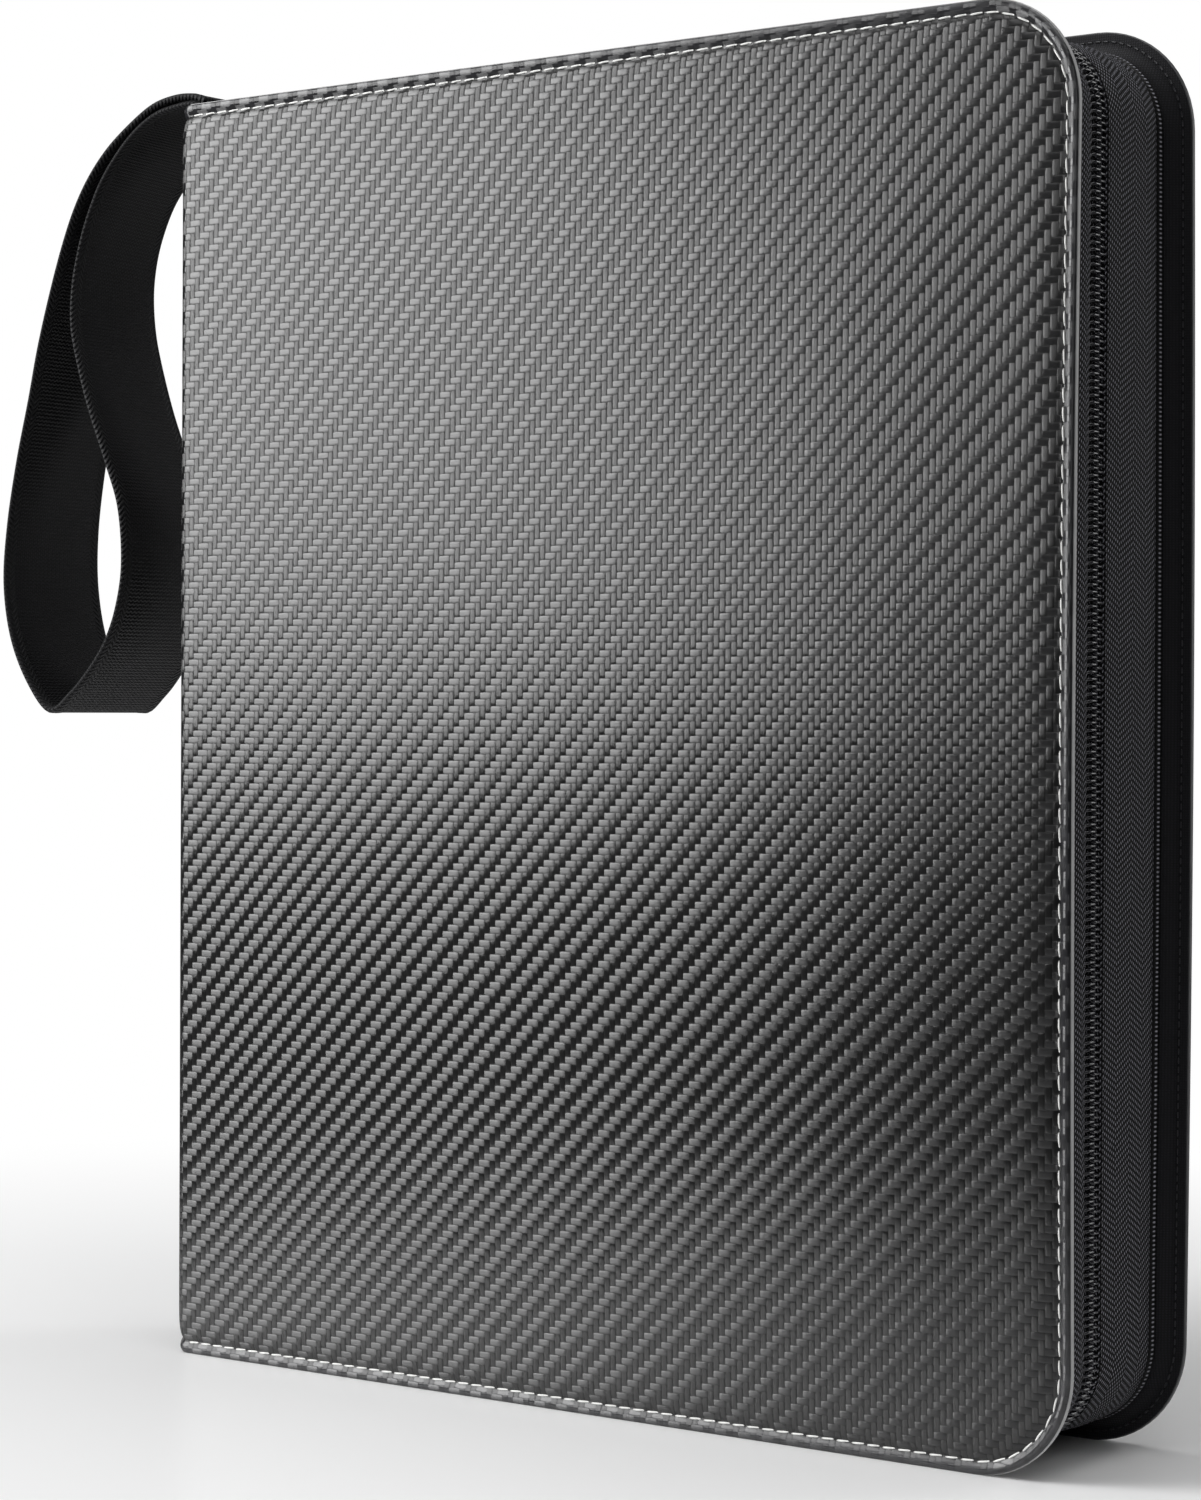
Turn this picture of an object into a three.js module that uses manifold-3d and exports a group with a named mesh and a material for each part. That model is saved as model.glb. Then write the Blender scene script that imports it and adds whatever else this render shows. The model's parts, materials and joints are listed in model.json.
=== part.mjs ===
// A zip-up card binder, closed and standing on its bottom edges. Two padded covers are hinged to a
// padded spine. The spine holds a three-ring mechanism with leaves of card pockets and a webbing
// carry loop. A coil zip runs round the top, fore and bottom edges, set in from the covers' edges.
// Millimetres, +Z up. The front cover faces -Y, the spine faces -X and the fore edge faces +X.
// While the pieces are laid out, the spine's outer face is at x = 0 and the middle of the binder's
// thickness is at y = 0. The finished group moves so that its origin is under its box's middle.
import * as THREE from 'three';
import { mergeVertices } from 'three/addons/utils/BufferGeometryUtils.js';
import Module from 'manifold-3d';

const wasm = await Module();
wasm.setup();

// Covers and spine
const coverHeight = 330;
const coverWidth = 273; // spine's outer face to the fore edge
const binderThickness = 54;
const foreCornerRadius = 25;
const spineCornerRadius = 3;
const skinThickness = 0.9;
const paddingThickness = 1;
const boardThickness = 1.5;
const liningThickness = 0.7;
const paddingMargin = 1.5; // cover's edge to the foam
const boardMargin = 6; // cover's edge to the board, which leaves room for the seam
const hingeClothThickness = 0.6;
const hingeClothWidth = 6.5;
const spineCornerGap = 2; // spine skin's edge to the cover's outer face
const fit = 0.3; // gap between two pieces that touch

// Zip wall
const wallInset = 5.5; // cover's edge to the zip wall
const tapeThickness = 0.9;
const wallStart = 14; // spine's outer face to the near end of the tapes
const pipingWidth = 3.8;
const pipingHeight = 1.6;
const zipOffset = 7.3; // middle of the zip, from the middle of the binder towards the front
const coilWidth = 2.4;
const coilHeight = 2.6;
const neckWidth = 1.6; // slider's neck, which runs between the two coils
const stopLength = 2.6;
const sliderLength = 13;
const sliderWidth = 9.4;
const sliderPlate = 1.1;
const bridgeLength = 7;
const bridgeHeight = 2.6;
const pullLength = 36;
const pullWidth = 10.8;
const pullThickness = 2.2;
const linkWire = 1.1;

// Ring mechanism
const housingEndRoom = 23.6; // end of the housing to the zip wall, where the lever swings
const ringEndMargin = 27; // outer rings to the end of the housing
const ringSideRoom = 4; // ring wire to the cover's lining
const ringWire = 3;
const housingHalfWidth = 11;
const housingCheek = 2.2;
const housingArch = 4;
const housingSheet = 0.9;
const bladeThickness = 1;
const bladeLift = 0.9; // foot of the housing to the underside of the blades
const slotClearance = 1.3; // ring wire to the edge of its slot
const rivetRadius = 2;
const rivetHeadRadius = 4.5;
const rivetHeadHeight = 1.2;
const rivetTailRadius = 3.5;
const leverWidth = 12;
const leverReach = 14;
const leverHubRadius = 2.1;
const leverPinRadius = 0.9;
const leverSlant = 34; // degrees from the housing's length, when the rings are shut

// Leaves
const leavesPerSide = 6;
const leafThickness = 0.8;
const leafPitch = 1.25;
const leafForeRoom = 14; // leaf's fore edge to the zip wall
const leafEndRoom = 10; // leaf's top and bottom edges to the zip wall
const leafHoleRadius = 4.5;
const leafHoleEdge = 11; // hole's centre to the leaf's bound edge
const ringStripWidth = 22;
const ringStripNotch = 20; // how much shorter the ring strip is at each end
const leafCornerRadius = 4;

// Carry loop
const strapSideRoom = 3; // webbing to the edge of the spine's board
const strapThickness = 1.6;
const tailLength = 22;

// The rest follows from the values above
const halfThickness = binderThickness / 2;
const skin = [0, skinThickness];
const padding = layerOver(skin, paddingThickness);
const board = layerOver(padding, boardThickness);
const lining = layerOver(board, liningThickness);
const coverDepth = lining[1];
const interiorHalf = halfThickness - coverDepth;
const hingeCloth = layerOver(lining, hingeClothThickness);
const coverStart = hingeCloth[1] + fit;
const spineSkinHalf = halfThickness - spineCornerGap;
const spineBoardHalf = spineSkinHalf - spineCornerRadius;
const strapWidth = 2 * (spineBoardHalf - strapSideRoom);
const wallInner = wallInset + tapeThickness;
const tapeMiddle = wallInset + tapeThickness / 2;
const neckGap = neckWidth / 2 + fit;
const coilOuter = neckGap + coilWidth;

const ringWireRadius = ringWire / 2;
const ringRadius = interiorHalf - ringSideRoom - ringWireRadius;
const housingFoot = coverDepth + fit;
const bladeFoot = housingFoot + bladeLift;
const bladeTop = bladeFoot + bladeThickness;
const bladePivotX = bladeFoot + bladeThickness / 2;
const bladePivotY = housingHalfWidth - housingSheet - fit;
const archFoot = housingFoot + housingCheek;
const housingTop = archFoot + housingArch;
const ringCentreX = bladeFoot - 0.2 + ringRadius;
const housingBottom = wallInner + housingEndRoom;
const housingLength = coverHeight - 2 * housingBottom;
const middleHeight = coverHeight / 2;
const ringSpacing = housingLength / 2 - ringEndMargin;
const ringHeights = { bottom: middleHeight - ringSpacing, middle: middleHeight, top: middleHeight + ringSpacing };
const rivetHeights = { bottom: middleHeight - ringSpacing / 2, top: middleHeight + ringSpacing / 2 };
const strapPivot = { x: (padding[0] + padding[1]) / 2, z: coverHeight + fit + strapThickness + fit / 2 };

const binder = new THREE.Group();
const colours = {
  skin: finish('#34373b', 0.42, 0),
  padding: finish('#5b5c60', 0.95, 0),
  board: finish('#8b8175', 0.9, 0),
  lining: finish('#141416', 0.9, 0),
  tape: finish('#18181b', 0.85, 0),
  coil: finish('#1d1d20', 0.4, 0),
  webbing: finish('#161618', 0.7, 0),
  steel: finish('#c3c5c8', 0.22, 1),
  slider: finish('#2a2a2d', 0.35, 0.6),
  rubber: finish('#1a1a1c', 0.6, 0),
  film: finish('#2b2c30', 0.3, 0),
};

addSpine();
addHingeCloths();
addGussets();
for (const [name, side] of [['front', -1], ['back', 1]]) {
  addCover(name, side);
  addZipHalf(name, side);
  addRingHalves(name, side);
  addLeaves(name, side);
}
addSlider();
addPull();
addHousing();
addRivets();
addLevers();
addStrap();

const box = new THREE.Box3().setFromObject(binder);
binder.position.set(-(box.min.x + box.max.x) / 2, -(box.min.y + box.max.y) / 2, -box.min.z);
binder.updateMatrixWorld(true);

export default binder;

// ---- pieces ----

function addSpine() {
  const rivets = (radius) => Object.values(rivetHeights).map((z) => circlePath(0, z, radius));
  const paddingShape = notchedPanel(spineBoardHalf, paddingMargin, strapWidth / 2 + fit, tailLength + fit);
  paddingShape.holes.push(...rivets(rivetTailRadius + fit));
  const boardShape = panel(spineBoardHalf, boardMargin);
  boardShape.holes.push(...rivets(rivetRadius + fit));
  const liningShape = panel(spineSkinHalf, 0);
  liningShape.holes.push(...rivets(rivetRadius + fit));
  add('spine_skin', alongX(panel(spineSkinHalf, 0), ...skin), colours.skin);
  add('spine_padding', alongX(paddingShape, ...padding), colours.padding);
  add('spine_board', alongX(boardShape, ...board), colours.board);
  add('spine_lining', alongX(liningShape, ...lining), colours.lining);
}

function addHingeCloths() {
  const margin = wallInner + 1 + fit;
  const outer = spineSkinHalf - fit;
  for (const [name, side] of [['front', -1], ['back', 1]]) {
    const ys = [side * (outer - hingeClothWidth), side * outer].sort((a, b) => a - b);
    const shape = rectangle(ys[0], ys[1], margin, coverHeight - margin);
    add(`${name}_hinge_cloth`, alongX(shape, ...hingeCloth), colours.lining);
  }
}

// Cloth that closes the zip wall between the spine and the near ends of the tapes
function addGussets() {
  const half = interiorHalf - 2 * fit;
  for (const [name, low] of [['bottom', wallInset], ['top', coverHeight - wallInner]]) {
    const shape = rectangle(housingFoot, wallStart - fit, low, low + tapeThickness);
    add(`zip_gusset_${name}`, alongY(shape, -half, half), colours.tape);
  }
}

function addCover(name, side) {
  const layer = (shape, [outer, inner]) => alongY(shape, ...between(side, outer, inner));
  add(`${name}_cover_skin`, layer(coverOutline(0), skin), colours.skin);
  add(`${name}_cover_padding`, layer(coverOutline(paddingMargin), padding), colours.padding);
  add(`${name}_cover_board`, layer(coverOutline(boardMargin), board), colours.board);
  add(`${name}_cover_lining`, layer(coverOutline(0), lining), colours.lining);
}

// Piping, tape, coil and stops that are sewn to one cover. The zip isn't in the middle of the wall,
// so the front tape is narrow and the back tape is wide.
function addZipHalf(name, side) {
  const zipMiddle = -zipOffset;
  const seam = side * (interiorHalf - fit);
  const tapeSeam = seam - side * (pipingWidth + fit);
  const tapeEdge = zipMiddle + side * (coilOuter + fit);
  const pipingInset = tapeMiddle - pipingHeight / 2;
  const coilInset = tapeMiddle - coilHeight / 2;
  const coilStart = wallStart + stopLength + fit;
  const coil = [zipMiddle + side * neckGap, zipMiddle + side * coilOuter];
  add(`${name}_piping`, wall(pipingInset, pipingHeight, wallStart, seam, seam - side * pipingWidth), colours.tape);
  add(`${name}_zip_tape`, wall(wallInset, tapeThickness, wallStart, tapeSeam, tapeEdge), colours.tape);
  add(`${name}_zip_coil`, wall(coilInset, coilHeight, coilStart, ...coil), colours.coil);
  for (const [end, low] of [['bottom', coilInset], ['top', coverHeight - coilInset - coilHeight]]) {
    const shape = rectangle(wallStart, wallStart + stopLength, low, low + coilHeight);
    add(`${name}_zip_stop_${end}`, alongY(shape, Math.min(...coil), Math.max(...coil)), colours.steel);
  }
}

// Two plates over and under the coils, joined by the neck, with a bridge for the pull on top.
function addSlider() {
  const start = wallStart + stopLength + fit;
  const middle = coverHeight - tapeMiddle;
  const inner = coilHeight / 2 + fit;
  const outer = inner + sliderPlate;
  const bridge = start + (sliderLength - bridgeLength) / 2;
  const bridgeTop = middle + outer + bridgeHeight;
  const leg = linkWire;
  const plates = [middle - outer, middle + inner].map((low) =>
    alongY(rectangle(start, start + sliderLength, low, low + sliderPlate), ...aboutZip(sliderWidth / 2)));
  const neck = alongY(rectangle(start, start + 4, middle - outer, middle + outer), ...aboutZip(neckWidth / 2));
  const arch = rectangle(bridge, bridge + bridgeLength, middle + inner, bridgeTop);
  arch.holes.push(rectanglePath(bridge + leg, bridge + bridgeLength - leg, middle + outer, bridgeTop - leg));
  add('slider_body', join([...plates, neck, alongY(arch, ...aboutZip(neckWidth / 2))]), colours.slider);
}

// A link through the bridge and the moulded tab that hangs on it, lying back along the zip.
function addPull() {
  const start = wallStart + stopLength + fit;
  const plateTop = coverHeight - tapeMiddle + coilHeight / 2 + fit + sliderPlate;
  const bridgeEnd = start + (sliderLength + bridgeLength) / 2;
  const height = plateTop + (bridgeHeight - linkWire) / 2;
  const barX = bridgeEnd - 2 * linkWire - fit;
  const linkHalf = neckWidth / 2 + fit + linkWire;
  const linkEnd = start + sliderLength + 3;
  const tabHalf = pullWidth / 2;
  const link = rectangle(barX - linkWire / 2, linkEnd, -linkHalf, linkHalf);
  link.holes.push(rectanglePath(barX + linkWire / 2, linkEnd - linkWire, linkWire - linkHalf, linkHalf - linkWire));
  const tab = roundEnded(linkEnd + fit, linkEnd + fit + pullLength, tabHalf);
  const tabLow = height - pullThickness / 2;
  add('pull_link', flat(link, height - linkWire / 2, height + linkWire / 2), colours.slider);
  add('pull_tab', flat(tab, tabLow, tabLow + pullThickness), colours.rubber);
}

// Arched steel cover of the ring mechanism, open underneath, with slots for the ring wires.
function addHousing() {
  const profile = new THREE.Shape();
  const inner = housingHalfWidth - housingSheet;
  profile.moveTo(housingFoot, -housingHalfWidth);
  profile.lineTo(archFoot, -housingHalfWidth);
  profile.absellipse(archFoot, 0, housingArch, housingHalfWidth, -Math.PI / 2, Math.PI / 2, false, 0);
  profile.lineTo(housingFoot, housingHalfWidth);
  profile.lineTo(housingFoot, inner);
  profile.lineTo(archFoot, inner);
  profile.absellipse(archFoot, 0, housingArch - housingSheet, inner, Math.PI / 2, -Math.PI / 2, true, 0);
  profile.lineTo(housingFoot, -inner);
  const shell = alongZ(profile, housingBottom, coverHeight - housingBottom, 10);
  const slotRadius = ringWireRadius + slotClearance;
  const cuts = [];
  for (const z of Object.values(ringHeights)) {
    cuts.push(ringArc(-1, z, slotRadius, 10, 75), ringArc(1, z, slotRadius, 10, 75));
  }
  for (const z of Object.values(rivetHeights)) {
    cuts.push(rod('x', archFoot, housingTop + 1, 0, z, rivetRadius + fit));
  }
  for (const end of [-1, 1]) {
    const { x, z } = leverAxis(end);
    const reach = housingHalfWidth + 1;
    const mouth = [z - end * (leverHubRadius + fit), z + end * leverReach].sort((a, b) => a - b);
    const half = leverWidth / 2 + fit;
    cuts.push(rod('y', -reach, reach, x, z, leverPinRadius + fit));
    cuts.push(boxGeometry([archFoot, -half, mouth[0]], [housingTop + 1, half, mouth[1]]));
  }
  add('ring_housing', cut(shell, cuts), colours.steel);
}

function addRivets() {
  const headFoot = housingTop + fit;
  for (const [end, z] of Object.entries(rivetHeights)) {
    const outline = [
      [0, padding[0] + fit],
      [rivetTailRadius, padding[0] + fit],
      [rivetTailRadius, padding[1]],
      [rivetRadius, padding[1]],
      [rivetRadius, headFoot],
      [rivetHeadRadius, headFoot],
      [rivetHeadRadius * 0.7, headFoot + rivetHeadHeight * 0.8],
      [0, headFoot + rivetHeadHeight],
    ];
    const lathe = new THREE.LatheGeometry(outline.map(([r, x]) => new THREE.Vector2(r, x)), 14);
    lathe.rotateZ(-Math.PI / 2);
    lathe.translate(0, 0, z);
    add(`ring_rivet_${end}`, lathe, colours.steel);
  }
}

// One spring blade and its three half rings, which turn together about the blade's outer edge.
function addRingHalves(name, side) {
  const ys = [side * bladePivotY, side * fit / 2].sort((a, b) => a - b);
  const endRoom = leverReach / 2;
  const strip = rectangle(ys[0], ys[1], housingBottom + endRoom, coverHeight - housingBottom - endRoom);
  const notches = Object.values(rivetHeights).map((z) =>
    rod('x', bladeFoot - 1, bladeTop + 1, 0, z, rivetRadius + 3 * fit));
  add(`ring_blade_${name}`, cut(alongX(strip, bladeFoot, bladeTop), notches), colours.steel);
  for (const [place, z] of Object.entries(ringHeights)) {
    const below = boxGeometry([0, -2 * ringRadius, z - ringWire], [bladeTop + fit, 2 * ringRadius, z + ringWire]);
    const tip = tipCutter(side, z);
    add(`ring_${name}_${place}`, cut(ringArc(side, z, ringWireRadius, 20, 180), [below, tip]), colours.steel);
  }
}

// Half of the small gap between the two ring tips
function tipCutter(side, z) {
  const ys = [-side * ringWire, side * fit / 2].sort((a, b) => a - b);
  const top = ringCentreX + ringRadius + ringWire;
  return boxGeometry([ringCentreX, ys[0], z - ringWire], [top, ys[1], z + ringWire]);
}

// Finger levers at both ends of the housing, each on a cross pin.
function addLevers() {
  for (const [name, end] of [['bottom', -1], ['top', 1]]) {
    const { x, z } = leverAxis(end);
    const slant = THREE.MathUtils.degToRad(leverSlant);
    const hub = rod('y', -leverWidth / 2, leverWidth / 2, x, z, leverHubRadius);
    const tongue = new THREE.BoxGeometry(leverReach, leverWidth, bladeThickness);
    tongue.translate(leverReach / 2, 0, 0);
    tongue.rotateY(-end * (Math.PI / 2 - slant));
    tongue.translate(x, 0, z);
    const bore = rod('y', -leverWidth, leverWidth, x, z, leverPinRadius + fit);
    const pinHalf = housingHalfWidth + 0.8;
    add(`ring_lever_${name}`, cut(join([hub, tongue]), [bore]), colours.steel);
    add(`lever_pin_${name}`, rod('y', -pinHalf, pinHalf, x, z, leverPinRadius), colours.steel);
  }
}

// One sheet of card pockets per node, with its narrower ring strip and three holes. A leaf further
// from the middle sits nearer to the spine, because it follows the round of the rings.
function addLeaves(name, side) {
  for (let i = 0; i < leavesPerSide; i += 1) {
    const offset = (i + 0.5) * leafPitch;
    const holeX = ringCentreX + Math.sqrt(ringRadius ** 2 - offset ** 2) + 1.4;
    const shape = leafOutline(holeX);
    for (const z of Object.values(ringHeights)) {
      shape.holes.push(circlePath(holeX, z, leafHoleRadius, 10));
    }
    const ys = [side * (offset - leafThickness / 2), side * (offset + leafThickness / 2)].sort((a, b) => a - b);
    add(`${name}_leaf_${i + 1}`, alongY(shape, ...ys, 3), colours.film);
  }
}

// A closed webbing loop that curls out of the top of the spine and hangs beside it. The route lists
// the middle of the webbing as (distance out from the spine's face, height above the covers' top).
function addStrap() {
  const route = [
    [-strapPivot.x, strapPivot.z - coverHeight + strapThickness / 2 + fit / 2],
    [3, 3.9], [10, 4.1], [19, 2.6], [28, -1.6], [37, -7.6], [44, -14.6], [49.6, -22.8], [54.4, -33],
    [59, -46], [63.2, -60], [66.5, -74], [70.8, -91], [74, -109], [74.6, -125], [71.4, -140],
    [64.4, -152.4], [56, -160], [48, -155.4], [41.4, -149.2], [35.4, -141.6], [31.4, -132],
    [29.6, -120], [31.4, -104.5], [37, -91], [43, -77.5], [47.4, -65], [50.2, -54], [50.4, -43],
    [48.6, -33.4], [45.4, -24.8], [40.6, -16.4], [33.6, -9], [26, -3.4], [18, 0.2], [10, 1.5], [3, 1.7],
    [-strapPivot.x, strapPivot.z - coverHeight - strapThickness / 2 - fit / 2],
  ].map(([out, up]) => new THREE.Vector2(-out, coverHeight + up));
  const loop = alongY(ribbon(new THREE.SplineCurve(route), strapThickness, 56), -strapWidth / 2, strapWidth / 2);
  const root = rod('y', -strapWidth / 2, strapWidth / 2, strapPivot.x, strapPivot.z, strapThickness + fit / 2);
  add('strap_loop', join([loop, root]), colours.webbing);
  const tail = rectangle(-strapWidth / 2, strapWidth / 2, coverHeight - tailLength, coverHeight);
  add('strap_tail', alongX(tail, ...padding), colours.webbing);
}

// ---- shapes ----

function layerOver(under, thickness) {
  return [under[1] + fit, under[1] + fit + thickness];
}

// Y range of a layer, from its depths below the outer face of the front (-1) or back (1) cover
function between(side, outer, inner) {
  return [side * (halfThickness - outer), side * (halfThickness - inner)].sort((a, b) => a - b);
}

function aboutZip(half) {
  return [-zipOffset - half, -zipOffset + half];
}

function leverAxis(end = 1) {
  return {
    x: archFoot + 0.5,
    z: middleHeight + end * (housingLength / 2 - leverHubRadius - 1),
  };
}

function rectangle(x0, x1, y0, y1) {
  return new THREE.Shape(rectanglePath(x0, x1, y0, y1).getPoints());
}

function rectanglePath(x0, x1, y0, y1) {
  return new THREE.Path([[x0, y0], [x1, y0], [x1, y1], [x0, y1]].map((p) => new THREE.Vector2(...p)));
}

function circlePath(x, y, radius, sides = 14) {
  const corners = [];
  for (let i = 0; i < sides; i += 1) {
    const turn = (2 * Math.PI * i) / sides;
    corners.push(new THREE.Vector2(x + radius * Math.cos(turn), y + radius * Math.sin(turn)));
  }
  return new THREE.Path(corners);
}

// Spine panel in (y, z)
function panel(half, margin) {
  return rectangle(-half, half, margin, coverHeight - margin);
}

// Spine panel with a notch in the middle of its top edge
function notchedPanel(half, margin, notchHalf, notchDepth) {
  const top = coverHeight - margin;
  const floor = coverHeight - notchDepth;
  const corners = [
    [-half, margin], [half, margin], [half, top], [notchHalf, top],
    [notchHalf, floor], [-notchHalf, floor], [-notchHalf, top], [-half, top],
  ];
  return new THREE.Shape(corners.map((p) => new THREE.Vector2(...p)));
}

// Cover in (x, z), set in from its edges, with large corners at the fore edge
function coverOutline(inset) {
  const x0 = coverStart + inset;
  const x1 = coverWidth - inset;
  const z0 = inset;
  const z1 = coverHeight - inset;
  const fore = foreCornerRadius - inset;
  const near = spineCornerRadius;
  const shape = new THREE.Shape();
  shape.moveTo(x0 + near, z0);
  shape.absarc(x1 - fore, z0 + fore, fore, -Math.PI / 2, 0, false);
  shape.absarc(x1 - fore, z1 - fore, fore, 0, Math.PI / 2, false);
  shape.absarc(x0 + near, z1 - near, near, Math.PI / 2, Math.PI, false);
  shape.absarc(x0 + near, z0 + near, near, Math.PI, 1.5 * Math.PI, false);
  return shape;
}

// U-shaped wall along the top, fore and bottom edges: (x, z) section between two insets, and Y range
function wall(inset, thickness, start, y0, y1) {
  const inner = inset + thickness;
  const centreX = coverWidth - foreCornerRadius;
  const low = foreCornerRadius;
  const high = coverHeight - foreCornerRadius;
  const shape = new THREE.Shape();
  shape.moveTo(start, inset);
  shape.absarc(centreX, low, foreCornerRadius - inset, -Math.PI / 2, 0, false);
  shape.absarc(centreX, high, foreCornerRadius - inset, 0, Math.PI / 2, false);
  shape.lineTo(start, coverHeight - inset);
  shape.lineTo(start, coverHeight - inner);
  shape.absarc(centreX, high, foreCornerRadius - inner, Math.PI / 2, 0, true);
  shape.absarc(centreX, low, foreCornerRadius - inner, 0, -Math.PI / 2, true);
  shape.lineTo(start, inner);
  return alongY(shape, Math.min(y0, y1), Math.max(y0, y1));
}

// Leaf in (x, z) around a ring hole at holeX: the pocket field, and the narrower ring strip
function leafOutline(holeX) {
  const x0 = holeX - leafHoleEdge;
  const x1 = x0 + ringStripWidth;
  const x2 = coverWidth - wallInner - leafForeRoom - (ringCentreX + ringRadius - holeX);
  const z0 = wallInner + leafEndRoom;
  const z1 = coverHeight - z0;
  const r = leafCornerRadius;
  const shape = new THREE.Shape();
  shape.moveTo(x1, z0);
  shape.lineTo(x2 - r, z0);
  shape.absarc(x2 - r, z0 + r, r, -Math.PI / 2, 0, false);
  shape.absarc(x2 - r, z1 - r, r, 0, Math.PI / 2, false);
  shape.lineTo(x1, z1);
  shape.lineTo(x1, z1 - ringStripNotch);
  shape.absarc(x0 + r, z1 - ringStripNotch - r, r, Math.PI / 2, Math.PI, false);
  shape.absarc(x0 + r, z0 + ringStripNotch + r, r, Math.PI, 1.5 * Math.PI, false);
  shape.lineTo(x1, z0 + ringStripNotch);
  return shape;
}

// Tab in (x, y) about the zip's middle, square where it hangs and round at its free end
function roundEnded(x0, x1, half) {
  const shape = new THREE.Shape();
  shape.moveTo(x0, -half);
  shape.absarc(x1 - half, 0, half, -Math.PI / 2, Math.PI / 2, false);
  shape.lineTo(x0, half);
  return shape;
}

// Outline of a band of even thickness along an open curve
function ribbon(curve, thickness, steps) {
  const left = [];
  const right = [];
  for (let i = 0; i <= steps; i += 1) {
    const point = curve.getPointAt(i / steps);
    const tangent = curve.getTangentAt(i / steps);
    const normal = new THREE.Vector2(-tangent.y, tangent.x).multiplyScalar(thickness / 2);
    left.push(point.clone().add(normal));
    right.unshift(point.clone().sub(normal));
  }
  return new THREE.Shape([...left, ...right]);
}

// ---- solids ----

function extrude(shape, depth, curveSegments) {
  return new THREE.ExtrudeGeometry(shape, { depth, bevelEnabled: false, curveSegments });
}

function alongX(shape, x0, x1, curveSegments = 8) {
  const geometry = extrude(shape, x1 - x0, curveSegments);
  const axes = [new THREE.Vector3(0, 1, 0), new THREE.Vector3(0, 0, 1), new THREE.Vector3(1, 0, 0)];
  geometry.applyMatrix4(new THREE.Matrix4().makeBasis(...axes));
  return geometry.translate(x0, 0, 0);
}

function alongY(shape, y0, y1, curveSegments = 8) {
  return extrude(shape, y1 - y0, curveSegments).rotateX(Math.PI / 2).translate(0, y1, 0);
}

function alongZ(shape, z0, z1, curveSegments = 8) {
  return extrude(shape, z1 - z0, curveSegments).translate(0, 0, z0);
}

// Flat piece on the zip's middle line, given in (x, distance from that line)
function flat(shape, z0, z1) {
  return alongZ(shape, z0, z1).translate(0, -zipOffset, 0);
}

// Round rod along x at (y, z), or along y at (x, z)
function rod(axis, from, to, across, z, radius) {
  const geometry = new THREE.CylinderGeometry(radius, radius, to - from, 14);
  const middle = (from + to) / 2;
  if (axis === 'x') {
    return geometry.rotateZ(Math.PI / 2).translate(middle, across, z);
  }
  return geometry.translate(across, middle, z);
}

// Wire along part of a ring, from one angle to another, in degrees from the foot of the ring
function ringArc(side, z, radius, from, to) {
  const path = new THREE.Curve();
  path.getPoint = (t) => {
    const turn = THREE.MathUtils.degToRad(from + (to - from) * t);
    return new THREE.Vector3(ringCentreX - ringRadius * Math.cos(turn), side * ringRadius * Math.sin(turn), z);
  };
  const section = new THREE.Shape(circlePath(0, 0, radius, 8).getPoints());
  return new THREE.ExtrudeGeometry(section, { extrudePath: path, steps: Math.ceil((to - from) / 12) });
}

function boxGeometry(low, high) {
  const size = high.map((value, i) => value - low[i]);
  return new THREE.BoxGeometry(...size).translate(...low.map((value, i) => value + size[i] / 2));
}

// ---- joins and cuts ----

function solid(geometry) {
  const bare = geometry.clone();
  bare.deleteAttribute('normal');
  bare.deleteAttribute('uv');
  const merged = mergeVertices(bare, 1e-4);
  return new wasm.Manifold(new wasm.Mesh({
    numProp: 3,
    vertProperties: new Float32Array(merged.attributes.position.array),
    triVerts: new Uint32Array(merged.index.array),
  }));
}

function surface(manifold) {
  const mesh = manifold.getMesh();
  const geometry = new THREE.BufferGeometry();
  geometry.setAttribute('position', new THREE.BufferAttribute(mesh.vertProperties, 3));
  geometry.setIndex(new THREE.BufferAttribute(mesh.triVerts, 1));
  return geometry;
}

function join(geometries) {
  return surface(geometries.map(solid).reduce((whole, next) => whole.add(next)));
}

function cut(geometry, cutters) {
  return surface(cutters.map(solid).reduce((whole, next) => whole.subtract(next), solid(geometry)));
}

function finish(color, roughness, metalness) {
  return new THREE.MeshStandardMaterial({ color, roughness, metalness });
}

function add(name, geometry, material) {
  const mesh = new THREE.Mesh(geometry, material.clone());
  mesh.name = name;
  binder.add(mesh);
}
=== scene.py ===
import json
import math

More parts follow.
